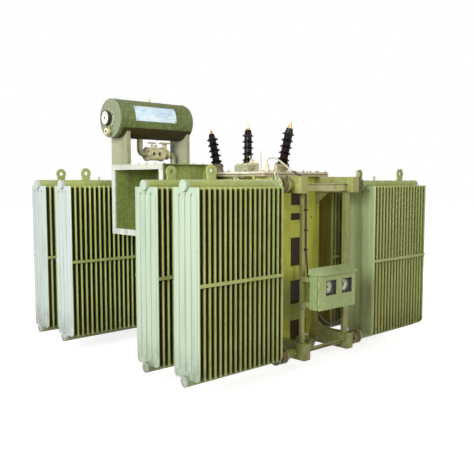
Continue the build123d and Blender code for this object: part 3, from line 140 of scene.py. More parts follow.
class Paints:
    """Builds one material's node tree, with short calls for the nodes used again and again."""

    def __init__(self, name):
        self.material = bpy.data.materials.new(name)
        self.material.use_nodes = True
        self.tree = self.material.node_tree
        self.tree.nodes.clear()
        self.output = self.add("ShaderNodeOutputMaterial")
        self.shader = self.add("ShaderNodeBsdfPrincipled")
        self.link(self.shader.outputs["BSDF"], self.output.inputs["Surface"])
        self.place = self.add("ShaderNodeTexCoord").outputs["Object"]

    def add(self, kind):
        """New node of a kind."""
        return self.tree.nodes.new(kind)

    def link(self, start, end):
        """Link from an output to an input."""
        self.tree.links.new(start, end)

    def set(self, socket, value):
        """Constant on one of the shader's sockets."""
        self.shader.inputs[socket].default_value = value

    def stretched(self, scale):
        """Object coordinates scaled differently along X, Y and Z."""
        node = self.add("ShaderNodeMapping")
        node.inputs["Scale"].default_value = scale
        self.link(self.place, node.inputs["Vector"])
        return node.outputs["Vector"]

    def noise(self, scale, detail, stretch=None):
        """Noise: scale is how many features fit into one metre."""
        node = self.add("ShaderNodeTexNoise")
        node.inputs["Scale"].default_value = scale
        node.inputs["Detail"].default_value = detail
        self.link(self.stretched(stretch) if stretch else self.place, node.inputs["Vector"])
        return node.outputs["Fac"]

    def patches(self, scale, detail, start, end, stretch=None):
        """Mask from noise, over a ramp whose start and end are each a noise value and the mask there."""
        node = self.add("ShaderNodeValToRGB")
        for element, (at, grey) in zip(node.color_ramp.elements, (start, end)):
            element.position = at
            element.color = (grey, grey, grey, 1)
        self.link(self.noise(scale, detail, stretch), node.inputs["Fac"])
        return node.outputs["Color"]

    def blend(self, mask, first, second):
        """Mix of two colours, each a socket or display values."""
        node = self.add("ShaderNodeMix")
        node.data_type = "RGBA"
        self.link(mask, node.inputs["Factor"])
        colours = [socket for socket in node.inputs if socket.type == "RGBA"]
        for socket, value in zip(colours, (first, second)):
            if isinstance(value, tuple):
                socket.default_value = (*map(linear, value), 1)
            else:
                self.link(value, socket)
        return next(socket for socket in node.outputs if socket.type == "RGBA")

    def along(self, axis):
        """Place along one axis."""
        split = self.add("ShaderNodeSeparateXYZ")
        self.link(self.place, split.inputs["Vector"])
        return split.outputs[axis]

    def mapped(self, value, start, end):
        """Value mapped from the range in start to the range in end."""
        node = self.add("ShaderNodeMapRange")
        for socket, limit in zip(("From Min", "From Max", "To Min", "To Max"), (*start, *end)):
            node.inputs[socket].default_value = limit
        self.link(value, node.inputs["Value"])
        return node.outputs["Result"]

    def below(self, level, soft):
        """Mask that is 1 below a height and fades out above it."""
        return self.mapped(self.along("Z"), (level, level + soft), (1, 0))

    def between(self, axis, low, high):
        """Mask that is 1 where the place along one axis lies between two values."""
        node = self.add("ShaderNodeMath")
        node.operation = "COMPARE"
        node.inputs[1].default_value = (low + high) / 2
        node.inputs[2].default_value = (high - low) / 2
        self.link(self.along(axis), node.inputs[0])
        return node.outputs["Value"]

    def inside(self, x, y, z):
        """Mask that is 1 inside a box, given as its range along each axis."""
        mask = self.times(self.between("X", *x), self.between("Y", *y))
        return self.times(mask, self.between("Z", *z))

    def times(self, first, second):
        """Product of two masks."""
        node = self.add("ShaderNodeMath")
        node.operation = "MULTIPLY"
        self.link(first, node.inputs[0])
        self.link(second, node.inputs[1])
        return node.outputs["Value"]

    def colour(self, socket):
        """Base colour."""
        self.link(socket, self.shader.inputs["Base Color"])

    def roughness(self, value, low, high):
        """Roughness that follows a mask between two values."""
        self.link(self.mapped(value, (0, 1), (low, high)), self.shader.inputs["Roughness"])

    def bump(self, height, strength, distance, soften=0.0):
        """Bump from a height mask, over edges softened by a radius in metres."""
        node = self.add("ShaderNodeBump")
        node.inputs["Strength"].default_value = strength
        node.inputs["Distance"].default_value = distance
        self.link(height, node.inputs["Height"])
        if soften:
            edge = self.add("ShaderNodeBevel")
            edge.samples = 3
            edge.inputs["Radius"].default_value = soften
            self.link(edge.outputs["Normal"], node.inputs["Normal"])
        self.link(node.outputs["Normal"], self.shader.inputs["Normal"])


# Colours are display values from 0 to 255
RUST = (104, 62, 30)
DIRT = (66, 62, 34)
DUST = (206, 205, 180)
RUBBER_DUST = (92, 80, 66)

# Zones of paint that has another colour: each is a range along X, Y and Z, and the colour in it
WIDE = 9.0
EVERYWHERE = (-WIDE, WIDE)


def zone(tone, x=EVERYWHERE, y=EVERYWHERE, z=(0, WIDE)):
    """One zone: where a range isn't given, it takes in everything above the ground."""
    return (x, y, z, tone)


STIFFENER_DEPTH = 0.050
RIM_THICKNESS = 0.018
# Near-black brown: painted shade, for the recesses of the tank ends and the inside of the marshalling box
SHADE_BROWN = (44, 32, 18)
RIM_TONE = (172, 160, 128)


def tank_zones():
    """The end walls behind the stiffener grid are painted near-black brown as painted shade in the recesses,
    and the rim has the cover's paint.
    """
    wall = high_of("tank_stiffeners").y - TANK_Y - STIFFENER_DEPTH - 2 * SKIN
    rim = high_of("tank_body").z - RIM_THICKNESS - SKIN
    return (
        zone(SHADE_BROWN, y=(-WIDE, TANK_Y - wall), z=(0, rim)),
        zone(SHADE_BROWN, y=(TANK_Y + wall, WIDE), z=(0, rim)),
        zone(RIM_TONE, z=(rim, WIDE)),
    )


CABLE_FLANGE_THICKNESS = 0.010
PALE_PRIMER = (196, 196, 184)


def flange_zones():
    """The strips round the mouth of the cable box are bare primer."""
    front = low_of("cable_box").x
    return (zone(PALE_PRIMER, x=(-WIDE, front + CABLE_FLANGE_THICKNESS + SKIN)),)


# Painted shade deep between the radiator panels, darker on the low-voltage side, clear of the panels' edges
UNSHADED_EDGE = 0.016
END_PANEL_DEPTH = 0.009
GAP_SHADE = (90, 80, 40)
PALE_GAP_SHADE = (138, 128, 58)
# Paler tones on the end panels of the banks: painted light, for the light on their end faces
LIT_TANK_SIDE_END = (166, 176, 128)
LIT_END_TONE = (160, 171, 149)
LIT_FAR_END_TONE = (184, 190, 182)


def bank_zones():
    """Painted shade deep between the panels of every bank, and paler paint on their end panels as painted
    light.
    """
    left = low_of("radiator_lv_front_outer_fins").x + END_PANEL_DEPTH
    right = high_of("radiator_hv_front_outer_fins").x - END_PANEL_DEPTH
    zones = []
    for end in ENDS:
        for row in ROWS:
            low, high = corners_of(f"radiator_hv_{end}_{row}_fins")
            deep = (low.y + UNSHADED_EDGE, high.y - UNSHADED_EDGE)
            tall = (low.z, high.z - UNSHADED_EDGE)
            zones.append(zone(GAP_SHADE, x=(-WIDE, 0), y=deep, z=tall))
            zones.append(zone(PALE_GAP_SHADE, x=(0, WIDE), y=deep, z=tall))
            if row == "outer":
                near = low.x + END_PANEL_DEPTH
                zones.append(zone(LIT_TANK_SIDE_END, x=(-near, near), y=(low.y, high.y)))
    zones.append(zone(LIT_END_TONE, x=(-WIDE, left)))
    zones.append(zone(LIT_FAR_END_TONE, x=(-WIDE, left), y=(TANK_Y, WIDE)))
    zones.append(zone(LIT_END_TONE, x=(right, WIDE)))
    return zones


DRUM_END_DEPTH = 0.009
DRUM_RING_DEPTH = 0.036
DRUM_SHADE_DROP = 0.085
# Paler tone on the drum's end: painted light, for the light on that end
LIT_DRUM_END_TONE = (126, 132, 104)
# Dark brown on the drum's underside: painted shade
UNDERSIDE_SHADE = (56, 48, 22)


def drum_zones():
    """The drum's end is painted paler, as painted light, and its underside dark brown, as painted shade."""
    left = low_of("conservator_drum").x
    level = middle_of("conservator_drum").z - DRUM_SHADE_DROP
    return (
        zone(LIT_DRUM_END_TONE, x=(-WIDE, left + DRUM_END_DEPTH)),
        zone(UNDERSIDE_SHADE, x=(left + DRUM_RING_DEPTH, WIDE), z=(0, level)),
    )


CASE_HALF_WIDTH = 0.2345
CASE_WALL = 0.004


def case_zones():
    """The marshalling box is painted near-black brown inside, as painted shade."""
    case = high_of("marshalling_box")
    door_low, door_high = corners_of("marshalling_box_door")
    middle = middle_of("door_window_panes").x
    half = CASE_HALF_WIDTH - CASE_WALL
    return (zone(SHADE_BROWN, x=(middle - half, middle + half), y=(door_high.y + SKIN, case.y - CASE_WALL),
                 z=(door_low.z + CASE_WALL, case.z - CASE_WALL)),)


# Kinds of material

def paint(name, fresh, worn, rust, streak, gloss=0.38, zones=()):
    """Sprayed steel paint: cloudy colour, dust, zones, runs of dirt, grime at the foot, specks of rust."""
    make = Paints(name)
    base = make.blend(make.patches(2.6, 5.0, (0.32, 0.0), (0.68, 1.0)), fresh, worn)
    dusty = make.patches(38.0, 4.0, (0.42, 0.0), (0.75, 0.22))
    base = make.blend(dusty, base, DUST)
    for x, y, z, tone in zones:
        base = make.blend(make.inside(x, y, z), base, tone)
    runs = make.patches(9.0, 4.0, (0.5, 0.0), (0.82, streak), stretch=(2.2, 2.2, 0.16))
    base = make.blend(runs, base, DIRT)
    blotches = make.patches(14.0, 5.0, (0.3, 0.1), (0.75, 0.8))
    base = make.blend(make.times(make.below(0.12, soft=0.3), blotches), base, DIRT)
    make.colour(make.blend(make.patches(23.0, 7.0, (0.66, 0.0), (0.74, rust)), base, RUST))
    make.roughness(dusty, low=gloss, high=gloss + 0.22)
    make.bump(make.noise(260.0, 2.0), strength=0.12, distance=0.0015, soften=0.0022)
    make.set("Coat Weight", 0.08)
    make.set("Coat Roughness", 0.32)
    make.set("Specular IOR Level", 0.3)
    return make.material


def cast_metal(name, fresh, worn, rough, metallic=0.0):
    """Cast or plated metal: sandy bump, cloudy colour and dark spots."""
    make = Paints(name)
    cloud = make.patches(18.0, 6.0, (0.35, 0.0), (0.7, 1.0))
    spots = make.patches(70.0, 5.0, (0.6, 0.0), (0.78, 0.7))
    make.colour(make.blend(spots, make.blend(cloud, fresh, worn), DIRT))
    make.roughness(cloud, low=rough - 0.1, high=rough + 0.15)
    make.bump(make.noise(90.0, 4.0), strength=0.25, distance=0.0015, soften=0.0012)
    make.set("Metallic", metallic)
    return make.material


def porcelain_glaze():
    """Dark brown glaze, nearly black, with faint runs in the brown."""
    make = Paints("brown_glaze")
    runs = make.patches(26.0, 4.0, (0.35, 0.0), (0.7, 1.0), stretch=(1.0, 1.0, 0.5))
    make.colour(make.blend(runs, (12, 5, 5), (26, 12, 9)))
    make.roughness(runs, low=0.22, high=0.34)
    make.bump(make.noise(120.0, 2.0), strength=0.05, distance=0.001, soften=0.002)
    make.set("Coat Weight", 0.04)
    make.set("Specular IOR Level", 0.15)
    make.set("Coat Roughness", 0.12)
    return make.material


def rubber(name, tone, bare_above=WIDE, bare_tone=DUST):
    """Rubber or sheath: matt, with dust in its fine grain, and bare armour above a height."""
    make = Paints(name)
    grain = make.patches(160.0, 4.0, (0.4, 0.0), (0.8, 0.5))
    sheath = make.blend(grain, tone, RUBBER_DUST)
    if bare_above < WIDE:
        sheath = make.blend(make.between("Z", bare_above, WIDE), sheath, bare_tone)
    make.colour(sheath)
    make.roughness(grain, low=0.6, high=0.85)
    make.bump(make.noise(300.0, 3.0), strength=0.2, distance=0.001)
    return make.material


def window_glass():
    """Thin clear glass with a slight grey-green tint and a film of dust."""
    make = Paints("window_glass")
    film = make.patches(22.0, 4.0, (0.3, 0.0), (0.8, 1.0))
    make.colour(make.blend(film, (226, 234, 226), (206, 212, 198)))
    make.roughness(film, low=0.02, high=0.06)
    make.bump(film, strength=0.03, distance=0.0005)
    make.set("Transmission Weight", 0.95)
    make.set("IOR", 1.15)
    return make.material


def dial_enamel(name, tone):
    """Enamel of a dial or its case, slightly yellowed in clouds."""
    make = Paints(name)
    cloud = make.patches(45.0, 3.0, (0.35, 0.0), (0.75, 1.0))
    make.colour(make.blend(cloud, tone, (214, 206, 190)))
    make.roughness(cloud, low=0.3, high=0.45)
    make.bump(make.noise(200.0, 2.0), strength=0.04, distance=0.0005)
    return make.material


def plate_sheet():
    """Bare name plate: pale blue brushed sheet with cloudy stains and darker rubbed streaks."""
    make = Paints("bare_plate")
    cloud = make.patches(9.0, 5.0, (0.34, 0.0), (0.68, 1.0), stretch=(1.0, 1.0, 2.0))
    base = make.blend(cloud, (200, 222, 244), (230, 242, 252))
    rubbed = make.patches(34.0, 4.0, (0.5, 0.0), (0.8, 0.5), stretch=(0.4, 1.0, 3.0))
    make.colour(make.blend(rubbed, base, (110, 140, 150)))
    make.roughness(cloud, low=0.35, high=0.5)
    make.bump(make.noise(380.0, 2.0, stretch=(0.1, 1.0, 1.0)), strength=0.1, distance=0.0006)
    make.set("Coat Weight", 0.15)
    return make.material


def ink():
    """Black printed ink of pointers and dial marks."""
    make = Paints("dial_ink")
    cloud = make.patches(90.0, 2.0, (0.3, 0.0), (0.8, 1.0))
    make.colour(make.blend(cloud, (18, 16, 18), (40, 34, 36)))
    make.roughness(cloud, low=0.4, high=0.6)
    return make.material


SAGE = paint("sage_paint", (158, 158, 126), (138, 136, 102), rust=0.3, streak=0.5)
PANEL = paint("panel_paint", (164, 172, 102), (146, 154, 82), rust=0.12, streak=0.3, zones=bank_zones())
TANK = paint("tank_paint", (186, 186, 58), (166, 168, 50), rust=0.5, streak=0.6, zones=tank_zones())
STIFFENERS = paint("stiffener_paint", (196, 198, 72), (158, 158, 52), rust=0.6, streak=0.7)
FRAME = paint("frame_paint", (158, 160, 92), (132, 132, 68), rust=0.55, streak=0.5)
BEAM = paint("beam_paint", (212, 210, 164), (178, 172, 122), rust=0.6, streak=0.4)
DRUM = paint("drum_paint", (98, 112, 58), (86, 96, 48), rust=0.25, streak=0.3, gloss=0.6, zones=drum_zones())
BOX = paint("cable_box_paint", (138, 150, 72), (112, 120, 52), rust=0.35, streak=0.55, zones=flange_zones())
COVER = paint("cover_paint", (232, 224, 202), (190, 172, 142), rust=0.7, streak=0.5)
TURRET = paint("turret_paint", (136, 126, 92), (110, 94, 62), rust=0.7, streak=0.5)
CASE = paint("case_paint", (152, 168, 108), (136, 150, 92), rust=0.2, streak=0.3, zones=case_zones())
SKID = paint("skid_paint", (92, 92, 56), (66, 62, 40), rust=0.9, streak=0.6)
PALE_STRIP = paint("primer_strip", PALE_PRIMER, (180, 176, 160), rust=0.4, streak=0.3)
CAST = cast_metal("cast_fitting", (214, 208, 170), (170, 158, 112), rough=0.45)
IRON = cast_metal("flange_iron", (112, 98, 56), (72, 56, 32), rough=0.6)
BRASS = cast_metal("terminal_brass", (222, 204, 150), (176, 150, 92), rough=0.35, metallic=0.75)
BOLTS = cast_metal("bolt_steel", (168, 160, 138), (96, 82, 60), rough=0.45, metallic=0.35)
HINGE = cast_metal("hinge_steel", (206, 204, 120), (170, 166, 90), rough=0.4, metallic=0.2)
DARK_METAL = cast_metal("dark_metal", (64, 58, 46), (36, 30, 24), rough=0.5, metallic=0.3)
GLAZE = porcelain_glaze()
GASKET = rubber("gasket_rubber", (36, 24, 20))
SHEATH = rubber("tube_sheath", (38, 22, 18), COVER_TOP + 4 * SKIN, (196, 190, 168))
GLASS = window_glass()
ENAMEL = dial_enamel("dial_enamel", (236, 232, 224))
SHADOW_ENAMEL = dial_enamel("dial_case", (196, 186, 170))
PLATE = plate_sheet()
INK = ink()

# Material of each CAD node: the radiator panels, header pipes and tie bars, which aren't listed, have PANEL
NODE_MATERIALS = {
    "base_skids": SKID,
    "tank_body": TANK,
    "tank_stiffeners": STIFFENERS,
    "tank_cover": COVER,
    "cover_gasket": GASKET,
    "header_boxes": FRAME,
    "header_gussets": FRAME,
    "end_frame_beams": BEAM,
    "end_frame_posts": FRAME,
    "marshalling_box_rails": FRAME,
    "marshalling_box": CASE,
    "marshalling_box_hood": CASE,
    "marshalling_box_door": CASE,
    "marshalling_box_hinges": CASE,
    "door_window_panes": GLASS,
    "dial_gauges": SHADOW_ENAMEL,
    "cable_box": BOX,
    "cable_box_lid": BOX,
    "cable_box_throat": BOX,
    "conservator_drum": DRUM,
    "conservator_supports": SAGE,
    "conservator_fittings": CAST,
    "oil_level_gauge": DARK_METAL,
    "relay_pipes": SAGE,
    "gas_relay": CAST,
    "relay_valve": CAST,
    "relay_handwheel": CAST,
    "hv_turrets": TURRET,
    "hv_bushings": GLAZE,
    "hv_terminals": BRASS,
    "tap_switch": CAST,
    "relief_valve": CAST,
    "thermometer_pockets": CAST,
    "junction_box": SAGE,
    "radiator_valves": IRON,
    "radiator_stubs": FRAME,
    "capillary_tube": SHEATH,
    "drain_valve": FRAME,
}


def dress_nodes():
    """Gives every CAD node its material."""
    for name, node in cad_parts.items():
        node.data.materials.clear()
        node.data.materials.append(NODE_MATERIALS.get(name, PANEL))


# Small shapes, all joined into a few pieces

class Pile:
    """One joined mesh that many small shapes are added to."""

    def __init__(self, name, material, slot="green_paint", body=BODY):
        self.name = name
        self.material = material
        self.slot = slot
        self.body = body
        self.mesh = bmesh.new()

    def loop(self, places):
        """Vertices at a row of places."""
        return [self.mesh.verts.new(place) for place in places]

    def skin_between(self, first, second):
        """Faces between two closed loops of as many vertices."""
        for index, corner in enumerate(first):
            after = (index + 1) % len(first)
            self.mesh.faces.new((corner, first[after], second[after], second[index]))

    def lofted(self, sections):
        """Closed solid through a row of sections, each a row of places."""
        loops = [self.loop(section) for section in sections]
        for first, second in zip(loops, loops[1:]):
            self.skin_between(first, second)
        self.mesh.faces.new(tuple(reversed(loops[0])))
        self.mesh.faces.new(tuple(loops[-1]))

    def turned(self, start, axis, profile, sides=12):
        """Closed solid of revolution: profile is a row of (distance along the axis, radius)."""
        axis = axis.normalized()
        across = axis.orthogonal().normalized()
        up = axis.cross(across)
        self.lofted([ring(start + axis * along, across, up, radius, sides) for along, radius in profile])

    def bolt(self, foot, axis, size):
        """Hexagon head on a washer, with the stud's end standing out of it."""
        radius, height, washer = size
        stud = radius * STUD_SHARE
        washer_profile = ((0, washer), (SKIN + WASHER_THICKNESS, washer))
        head_profile = ((0, radius), (height * HEAD_SHOULDER, radius), (height, radius * HEAD_CROWN))
        stud_profile = ((0, stud), (height * STUD_RISE, stud * STUD_TIP))
        head = foot + axis * WASHER_THICKNESS
        self.turned(foot - axis * SKIN, axis, washer_profile, 14)
        self.turned(head, axis, head_profile, 6)
        self.turned(head + axis * height * STUD_FROM, axis, stud_profile, 8)

    def slab(self, low, high, chamfer=0.0):
        """Box from its lowest to its highest corner, with chamfered edges."""
        low = Vector(low)
        size = Vector(high) - low
        corners = bmesh.ops.create_cube(self.mesh, size=1.0)["verts"]
        for corner in corners:
            corner.co = low + Vector((size[i] * (corner.co[i] + 0.5) for i in range(3)))
        if chamfer:
            edges = list({edge for corner in corners for edge in corner.link_edges})
            bmesh.ops.bevel(self.mesh, geom=edges, offset=min(chamfer, min(size) * 0.3), segments=1,
                            affect="EDGES", profile=0.5)

    def band(self, centre, axis, radius, thick, sides=28, tube=8):
        """Ring of round section about an axis."""
        across = axis.orthogonal().normalized()
        directions = spokes(across, axis.cross(across), sides)
        loops = [self.loop(ring(centre + out * radius, out, axis, thick, tube)) for out in directions]
        for index, loop in enumerate(loops):
            self.skin_between(loop, loops[(index + 1) % sides])

    def finish(self):
        """Writes the joined mesh as one piece that rides on its body."""
        bmesh.ops.recalc_face_normals(self.mesh, faces=self.mesh.faces)
        data = bpy.data.meshes.new(self.name)
        self.mesh.to_mesh(data)
        self.mesh.free()
        data.materials.append(self.material)
        piece = bpy.data.objects.new(self.name, data)
        bpy.context.scene.collection.objects.link(piece)
        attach(piece, self.body)


def metal_pile(name, material=BOLTS):
    """Pile of small metal fittings."""
    return Pile(name, material, "relay_metal")


# Cover

COVER_BOLT_INSET = 0.027
COVER_BOLT_PITCH = 0.11
SUPPORT_CLEARANCE = 0.02


def beside_supports(y):
    """Whether a place along Y is clear of the conservator's supports."""
    low, high = corners_of("conservator_supports")
    return not low.y - SUPPORT_CLEARANCE < y < high.y + SUPPORT_CLEARANCE


def cover_bolts():
    """Bolts round the edge of the cover, except where the conservator's supports stand."""
    left, front, _ = low_of("tank_cover") + (X + Y) * COVER_BOLT_INSET
    right, back, _ = high_of("tank_cover") - (X + Y) * COVER_BOLT_INSET
    places = []
    for y in spread(front, back, COVER_BOLT_PITCH):
        places += [(left, y), (right, y)]
    for x in spread(left, right, COVER_BOLT_PITCH)[1:-1]:
        places += [(x, front), (x, back)]
    pile = metal_pile("cover_bolts")
    for x, y in places:
        if x >= 0 or beside_supports(y):
            pile.bolt(Vector((x, y, COVER_TOP)), Z, M12)
    pile.finish()


# Radiators: flanges, lifting eyes and press marks

PIPE_ABOVE_PANELS = 0.013
PIPE_BELOW_PANELS = 0.017
TOP_PIPE_Z = high_of("radiator_hv_front_outer_fins").z + PIPE_ABOVE_PANELS
BOTTOM_PIPE_Z = low_of("radiator_hv_front_outer_fins").z - PIPE_BELOW_PANELS
FLANGE_THICK = 0.012
FLANGE_RADIUS = 0.068
FLANGE_BOLT_CIRCLE = 0.057
FLANGE_BOLTS = 8
HEADER_FLANGE_X = low_of("radiator_hv_outer_headers").x
STUB_FLANGE_X = high_of("radiator_stubs").x - FLANGE_THICK


def flange_bolts():
    """Nuts on the outer side of every radiator flange and on the tank side of its stub's flange."""
    pile = metal_pile("flange_bolts")
    for side, name in ((-X, "lv"), (X, "hv")):
        for row in ROWS:
            for end in ENDS:
                y = middle_of(f"radiator_{name}_{end}_{row}_fins").y
                for z in (TOP_PIPE_Z, BOTTOM_PIPE_Z):
                    for out in spokes(Y, Z, FLANGE_BOLTS, 0.5):
                        at = Vector((0, y, z)) + out * FLANGE_BOLT_CIRCLE
                        pile.bolt(at + side * (HEADER_FLANGE_X + FLANGE_THICK), side, M8)
                        pile.bolt(at + side * STUB_FLANGE_X, -side, M8)
    pile.finish()


EYE_RADIUS = 0.0165
EYE_THICK = 0.0062
EYE_NECK = 0.006
EYE_FOOT = ((0, 0.009), (EYE_NECK, 0.009), (0.009, 0.006))


def lifting_eyes():
    """Small rings on the outer banks' top flanges."""
    pile = metal_pile("flange_lifting_eyes", CAST)
    for side in (-1, 1):
        x = side * (HEADER_FLANGE_X + FLANGE_THICK / 2)
        for end in ENDS:
            y = middle_of(f"radiator_hv_{end}_outer_fins").y
            foot = Vector((x, y, TOP_PIPE_Z + FLANGE_RADIUS - 2 * SKIN))
            pile.turned(foot, Z, EYE_FOOT)
            pile.band(foot + Z * (EYE_NECK + EYE_RADIUS), Y, EYE_RADIUS, EYE_THICK, sides=24)
    pile.finish()


FLUTE_SPACING = 0.06875
FLUTE_RISE = 0.004
MARK_DROP = 0.052
MARK_HALF_SIZE = Vector((SKIN, 0.0036, 0.010))


def panel_marks():
    """Dark press marks at the upper end of each groove of the two end panels of every bank."""
    pile = Pile("panel_press_marks", DARK_METAL)
    for name in (f"radiator_{side}_{end}_{row}_fins" for side in SIDES for end in ENDS for row in ROWS):
        low, high = corners_of(name)
        for groove in (-1, 0, 1):
            for x in (low.x + FLUTE_RISE, high.x - FLUTE_RISE):
                centre = Vector((x, (low.y + high.y) / 2 + groove * FLUTE_SPACING, high.z - MARK_DROP))
                pile.slab(centre - MARK_HALF_SIZE, centre + MARK_HALF_SIZE)
    pile.finish()


# Bushings

BUSHING_SPACING = 0.465
BUSHING_LEAN = 15.0
TURRET_FOOT_THICK = 0.012
TURRET_BOLT_CIRCLE = 0.071
CLAMP_TOP = 0.090
CLAMP_BOLT_CIRCLE = 0.059
CLAMP_BOLTS = 6


def bushing_fasteners():
    """Bolts round the feet of the turrets and clamp bolts round the porcelain's foot."""
    pile = metal_pile("bushing_fasteners")
    middle = middle_of("hv_turrets")
    for index in (-1, 0, 1):
        foot = Vector((middle.x, middle.y + index * BUSHING_SPACING, COVER_TOP))
        lean = Matrix.Rotation(math.radians(-index * BUSHING_LEAN), 3, "X")
        for out in spokes(X, Y, CLAMP_BOLTS, 0.5):
            pile.bolt(foot + Z * TURRET_FOOT_THICK + out * TURRET_BOLT_CIRCLE, Z, M8)
            pile.bolt(foot + lean @ (Z * CLAMP_TOP + out * CLAMP_BOLT_CIRCLE), lean @ Z, M8)
    pile.finish()


# Small fittings on the cover, placed along the lines of sight of the photograph

LEVER_BOX_LOW = Vector((0.040, TANK_Y - 0.250, COVER_TOP - SKIN))
LEVER_BOX_HIGH = Vector((0.165, TANK_Y - 0.150, COVER_TOP + 0.095))
LEVER_BOX_CHAMFER = 0.006
LEVER_FLANGE = 0.012
LEVER_FLANGE_TOP = COVER_TOP + 0.010
LEVER_FLANGE_CHAMFER = 0.002
LEVER_BOLT_OUTSET = 0.004
LEVER_PIVOT = ((0, 0.026), (0.010, 0.026), (0.014, 0.015), (0.040, 0.012), (0.044, 0.009))
LEVER_RISE = 0.034
LEVER_LENGTH = 0.070
LEVER_DIRECTION = Vector((-0.75, -0.5, 0.35)).normalized()
LEVER_ARM = ((0, 0.006), (LEVER_LENGTH, 0.005))
LEVER_KNOB = ((0, 0.006), (0.005, 0.011), (0.014, 0.011), (0.020, 0.005))
LEVER_KNOB_DROP = 0.010
ROD_FOOT = Vector((0.187, TANK_Y - 0.250, COVER_TOP - SKIN))
ROD = ((0, 0.014), (0.018, 0.014), (0.020, 0.0045), (0.224, 0.0045))


def lever_box():
    """Low cast housing with a lever on top and a thin rod beside it, next to the middle bushing."""
    pile = metal_pile("lever_box", CAST)
    low = LEVER_BOX_LOW
    high = LEVER_BOX_HIGH
    edge = LEVER_FLANGE
    pile.slab(low, high, LEVER_BOX_CHAMFER)
    pile.slab((low.x - edge, low.y - edge, low.z), (high.x + edge, high.y + edge, LEVER_FLANGE_TOP),
              LEVER_FLANGE_CHAMFER)
    crown = Vector(((low.x + high.x) / 2, (low.y + high.y) / 2, high.z))
    pile.turned(crown - Z * SKIN, Z, LEVER_PIVOT, 16)
    lever = crown + Z * LEVER_RISE
    pile.turned(lever, LEVER_DIRECTION, LEVER_ARM, 10)
    pile.turned(lever + LEVER_DIRECTION * LEVER_LENGTH - Z * LEVER_KNOB_DROP, Z, LEVER_KNOB)
    for x in (low.x - LEVER_BOLT_OUTSET, high.x + LEVER_BOLT_OUTSET):
        for y in (low.y, high.y):
            pile.bolt(Vector((x, y, LEVER_FLANGE_TOP)), Z, M6)
    pile.turned(ROD_FOOT, Z, ROD)
    pile.finish()


JUNCTION_SCREW = ((0, 0.0055), (0.003, 0.0055), (0.0045, 0.003))
JUNCTION_SCREW_INSET = 0.010
JUNCTION_SCREW_PITCH = 0.07
JUNCTION_GLAND = ((0, 0.013), (0.012, 0.013), (0.014, 0.010), (0.026, 0.009))
RELIEF_BOLTS = 8
RELIEF_BOLT_CIRCLE = 0.054
SWITCH_SCREW = ((0, 0.005), (0.0035, 0.005), (0.005, 0.003))
SWITCH_SCREWS = 4
SWITCH_SCREW_CIRCLE = 0.040
SWITCH_SCREW_DROP = 0.0145


def cover_fitting_screws():
    """Screws and gland of the junction box, bolts of the relief valve and screws of the tap switch."""
    pile = metal_pile("cover_fitting_screws")
    low, high = corners_of("junction_box")
    inset = JUNCTION_SCREW_INSET
    for x in (low.x + inset, high.x - inset):
        for y in spread(low.y + inset, high.y - inset, JUNCTION_SCREW_PITCH):
            pile.turned(Vector((x, y, high.z - SKIN)), Z, JUNCTION_SCREW, 10)
    pile.turned(Vector(((low.x + high.x) / 2, low.y + SKIN, (low.z + high.z) / 2)), -Y, JUNCTION_GLAND, 6)
    relief = middle_of("relief_valve")
    relief.z = high_of("relief_valve").z
    for out in spokes(X, Y, RELIEF_BOLTS):
        pile.bolt(relief + out * RELIEF_BOLT_CIRCLE, Z, M6)
    switch = middle_of("tap_switch")
    switch.z = high_of("tap_switch").z - SWITCH_SCREW_DROP
    for out in spokes(X, Y, SWITCH_SCREWS, 0.5):
        pile.turned(switch + out * SWITCH_SCREW_CIRCLE, Z, SWITCH_SCREW, 10)
    pile.finish()


# Conservator

DRUM_RADIUS = 0.174
DRUM_AXIS = Vector((0, middle_of("conservator_drum").y, 2.170))
PLATE_LENGTH = 0.450
PLATE_X = -0.815
PLATE_ANGLES = (-7.5, 38.4)
PLATE_STANDOFF = 0.003
PLATE_THICK = 0.0025
PLATE_STEPS = 24
PLATE_SCREW = ((0, 0.0045), (0.006, 0.0045), (0.006, 0.007), (0.0085, 0.0065), (0.0095, 0.004))
PLATE_SCREW_TURN = 4.0
PLATE_SCREW_INSET = 0.014


def out_of_drum(degrees):
    """Direction from the drum's axis to its front, at an angle above level."""
    angle = math.radians(degrees)
    return Vector((0, -math.cos(angle), math.sin(angle)))


def bare_plate():
    """Bare name plate rolled to the drum, held off it by four round studs."""
    lowest, highest = PLATE_ANGLES
    half = PLATE_LENGTH / 2
    left = X * (PLATE_X - half)
    right = X * (PLATE_X + half)
    sections = []
    for step in range(PLATE_STEPS + 1):
        out = out_of_drum(lowest + (highest - lowest) * step / PLATE_STEPS)
        inner = DRUM_AXIS + out * (DRUM_RADIUS + PLATE_STANDOFF)
        outer = inner + out * PLATE_THICK
        sections.append((inner + left, inner + right, outer + right, outer + left))
    pile = Pile("bare_plate", PLATE)
    pile.lofted(sections)
    pile.finish()
    screws = metal_pile("plate_screws")
    for degrees in (lowest + PLATE_SCREW_TURN, highest - PLATE_SCREW_TURN):
        out = out_of_drum(degrees)
        for side in (-1, 1):
            x = PLATE_X + side * (half - PLATE_SCREW_INSET)
            screws.turned(DRUM_AXIS + out * (DRUM_RADIUS - SKIN) + X * x, out, PLATE_SCREW)
    screws.finish()


SEAM_PAST_MIDDLE = 0.09
SEAM_BEFORE_DISH = 0.078
SEAM_THICK = 0.0022


def drum_seams():
    """Weld beads round the drum beside its end ring, past its middle and before its dished end."""
    pile = Pile("drum_weld_seams", DRUM)
    low, high = corners_of("conservator_drum")
    for x in (low.x + DRUM_RING_DEPTH, (low.x + high.x) / 2 + SEAM_PAST_MIDDLE, high.x - SEAM_BEFORE_DISH):
        pile.band(DRUM_AXIS + X * x, X, DRUM_RADIUS, SEAM_THICK, sides=96, tube=6)
    pile.finish()


# Dials: start, end and half width of each mark and of the pointer are shares of the dial's radius

